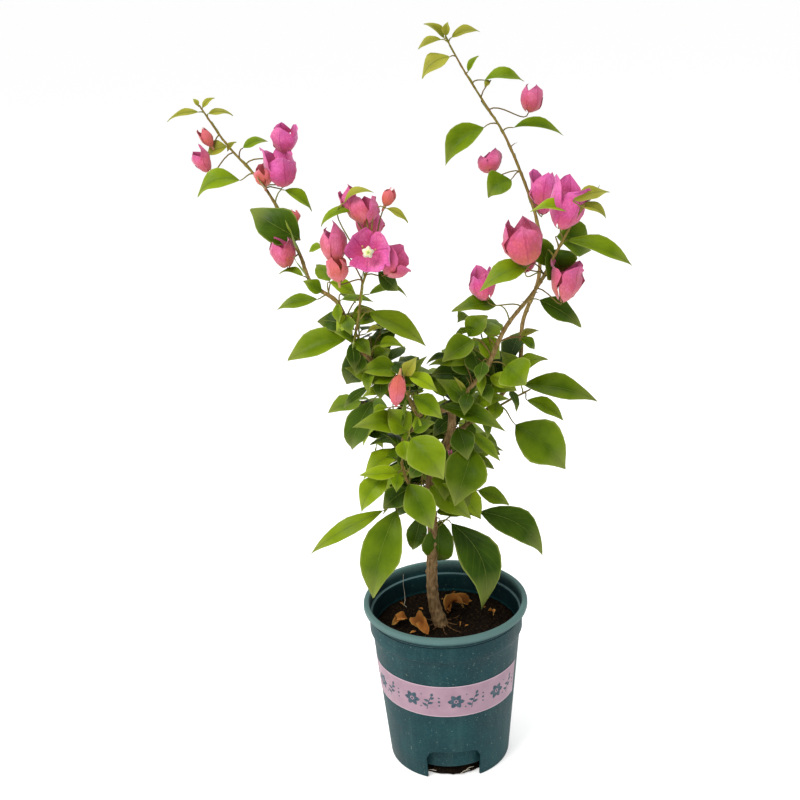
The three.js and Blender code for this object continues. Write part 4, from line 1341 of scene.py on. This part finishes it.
# each: place on the limb; turn, rise and length of the stalk; turn, rise, length and width of the head;
# opening; tint; open flowers
headTable = {
    "left_cane": [
        (0.74, 0, 15, 38, 318, 78, 29, 24, 0.2, "magenta", 0),
        (0.63, 353, 2, 17, 262, 82, 41, 30, 0.34, "magenta", 0),
        (0.63, 278, 21, 9, 262, 79, 21, 17, 0, "salmon", 0),
        (0.88, 195, -54, 13, 191, 62, 21, 11, 0, "salmon", 0),
        (0.8, 190, -34, 29, 199, 64, 28, 16, 0.1, "pink", 0),
        (0.36, 222, -36, 18, 203, 81, 31, 23, 0.15, "pink", 0),
        (0.5, 28, -21, 14, 136, 77, 13, 9, 0, "salmon", 0),
        (0.63, 60, 5, 30, 95, 60, 26, 22, 0.25, "magenta", 1),
    ],
    "left_flower_shoot": [
        (1, 156, 78, 28, 96, 82, 29, 27, 0.1, "pink", 0), (1, 165, 68, 40, 152, 69, 23, 14, 0, "pink", 0),
        (1, 18, 73, 44, 15, 61, 16, 12, 0, "salmon", 0),
        (0.9, 180, 12, 28, 130, 83, 35, 23, 0.02, "pink", 0),
        (0.8, 185, 0, 21, 230, 86, 25, 18, 0, "salmon", 0),
        (0.95, 250, 65, 10, 274, 21, 16, 37, 1, "magenta", 1),
        (0.85, 0, -3, 16, 354, 44, 25, 26, 0.5, "pink", 0),
        (1, 98, 30, 22, 90, 60, 26, 24, 0.35, "pink", 1),
    ],
    "tall_cane_upper": [
        (0.3, 172, -2, 28, 120, 70, 23, 24, 0.12, "pink", 0),
        (0.14, 11, -17, 11, 129, 86, 36, 26, 0.2, "magenta", 0),
        (0.62, 3, -7, 39, 16, 76, 30, 22, 0.1, "pink", 0),
        (0.12, 62, -25, 24, 75, 65, 28, 24, 0.35, "magenta", 1),
    ],
    "right_bough": [
        (0.84, 232, 63, 11, 0, 76, 45, 30, 0.25, "magenta", 0),
        (0.68, 220, 31, 25, 160, 80, 42, 34, 0.08, "pink", 0),
        (0.62, 340, -26, 26, 338, 82, 37, 28, 0.42, "pink", 0),
        (0.52, 191, 16, 33, 150, 72, 31, 24, 0.24, "magenta", 0),
        (0.68, 115, -8, 34, 90, 60, 28, 24, 0.3, "magenta", 1),
    ],
    "bud_shoot": [(1, 285, 35, 10, 216, -76, 28, 16, 0, "salmon", 0)],
    "back_shoot": [(0.35, 70, -48, 22, 60, 0, 26, 22, 0.15, "pink", 0)],
    "back_twig": [(0.7, 90, -50, 22, 80, -10, 28, 26, 0.35, "magenta", 1)],
}

def growHead(name, rng, at, turn, rise, reach, headTurn, headRise, length, width, opened, tint, star):
    spot, ahead = along(name, at)
    out, way = heading(turn, rise), heading(headTurn, headRise)
    foot = spot + out * reach
    stalk(spot, foot, (out + ahead * 0.6).normalized(), way, 0.75, 0.6, rng.uniform(0.2, 0.7))
    side = way.orthogonal().normalized()
    other = way.cross(side)
    spin = rng.uniform(0, 120)
    if opened == 0:  # a shut head has a narrow neck
        neck = [foot + way * far for far in (-5, -2, 1, 4)]
        tube(tubes, neck, [0.9, 1.2, 1.8, 3], 8, [0.2, 0.3, 0.4, 0.5])
    wide = width * blend(0.92, 0.82, max(0, opened - 0.5) * 2)
    for k in range(3):
        angle = math.radians(spin + 120 * k + rng.uniform(-8, 8))
        out = side * math.cos(angle) + other * math.sin(angle)
        bract(bracts[tint], foot, way, out, length, width / 2 * 0.92, wide, opened, rng)
        if opened > 0.2:
            inFlower = star and k == 0
            tilt = way if inFlower else (way + out * blend(0.15, 0.45, opened)).normalized()
            tall, size = length * blend(0.5, 0.8, opened), blend(8, 11, opened)
            starFlower(foot + out * 1.2, tilt, tall, size, inFlower)


headRng = random.Random(19)
for name, rows in headTable.items():
    for row in rows:
        growHead(name, headRng, *row)
for tint, (node, *colours) in bractKinds.items():
    material = bractPaint("bract" + tint.capitalize(), *colours)
    finish(bracts[tint].build(tint + "_bracts", [material]), "bract_" + tint, node)
finish(flowers.build("star_flowers", [starPaint()]), "star_flower")
tubePaint = plainPaint("flowerTube", (160, 96, 84), (186, 146, 96), 160, (0.47, 0.63), bump=True)
finish(tubes.build("flower_tubes", [tubePaint]), "bract_salmon")

# each: where on the limb, turn, rise and length
spineTable = (
    ("left_cane", 0.05, 200, 20, 8), ("left_cane", 0.1, 250, 30, 9), ("left_cane", 0.5, 210, 25, 7),
    ("left_bough", 0.7, 230, 10, 9), ("left_flower_shoot", 0.1, 300, -10, 8),
    ("right_bough", 0.36, 200, 20, 9), ("right_bough", 0.58, 20, 15, 8), ("tall_cane_upper", 0.42, 10, 30, 7),
    ("tall_cane_lower", 0.7, 200, 10, 8), ("trunk", 0.42, 185, 15, 7),
)
for name, at, turn, rise, length in spineTable:
    spot = along(name, at)[0]
    end = spot + heading(turn, rise) * (length + limbRadius(name, at))
    stalk(spot, end, heading(turn, rise + 12), heading(turn, rise - 18), 0.75, 0.12, 0.7)
for turn, length in ((200, 17), (238, 24), (284, 15), (318, 21), (352, 13), (40, 18), (95, 20), (150, 14)):
    start = trunkFoot + heading(turn) * 6 + Vector((0, 0, 4.5))  # a root strand over the soil
    end = trunkFoot + heading(turn) * (8 + length)
    end.z = soilHeight(end.x, end.y) - 0.2
    stalk(start, end, heading(turn, -25), heading(turn + 30, -8), 0.9, 0.25, 0.95)
finish(stalks.build("twigs_and_stalks", [stalkPaint()]), "green_cane")
thread = Heap()
stops = (  # turn, distance from the middle, height
    (128, 70, 171), (128.6, 70, 160), (128, 69.5, 150), (130, 66, 143.5), (136, 60, 142.8), (139, 54, 143.2),
)
line, _ = smoothLine([heading(turn) * away + Vector((0, 0, height)) for turn, away, height in stops])
tube(thread, line[::4], 0.22, 5, 0.5)
for turn, away in ((-64, 53), (-70, 56), (-106, 55)):  # root hairs out of the dark mass under the drum, which stands in for the shadow there
    start, end = heading(turn) * away, heading(turn - 12) * (away + 1)
    start.z, end.z = 4.4, 1.4
    line, _ = smoothLine([start, (start + end) / 2 + Vector((0, -1.2, 2.6)), end])
    tube(thread, line[::4], 0.3, 5, 0.5)
threadPaint = plainPaint("thread", (176, 168, 150), (206, 200, 184), 200, (0.72, 0.88), bump=True)
finish(thread.build("loose_thread", [threadPaint]), "soil")
print("blossom, spines and roots")
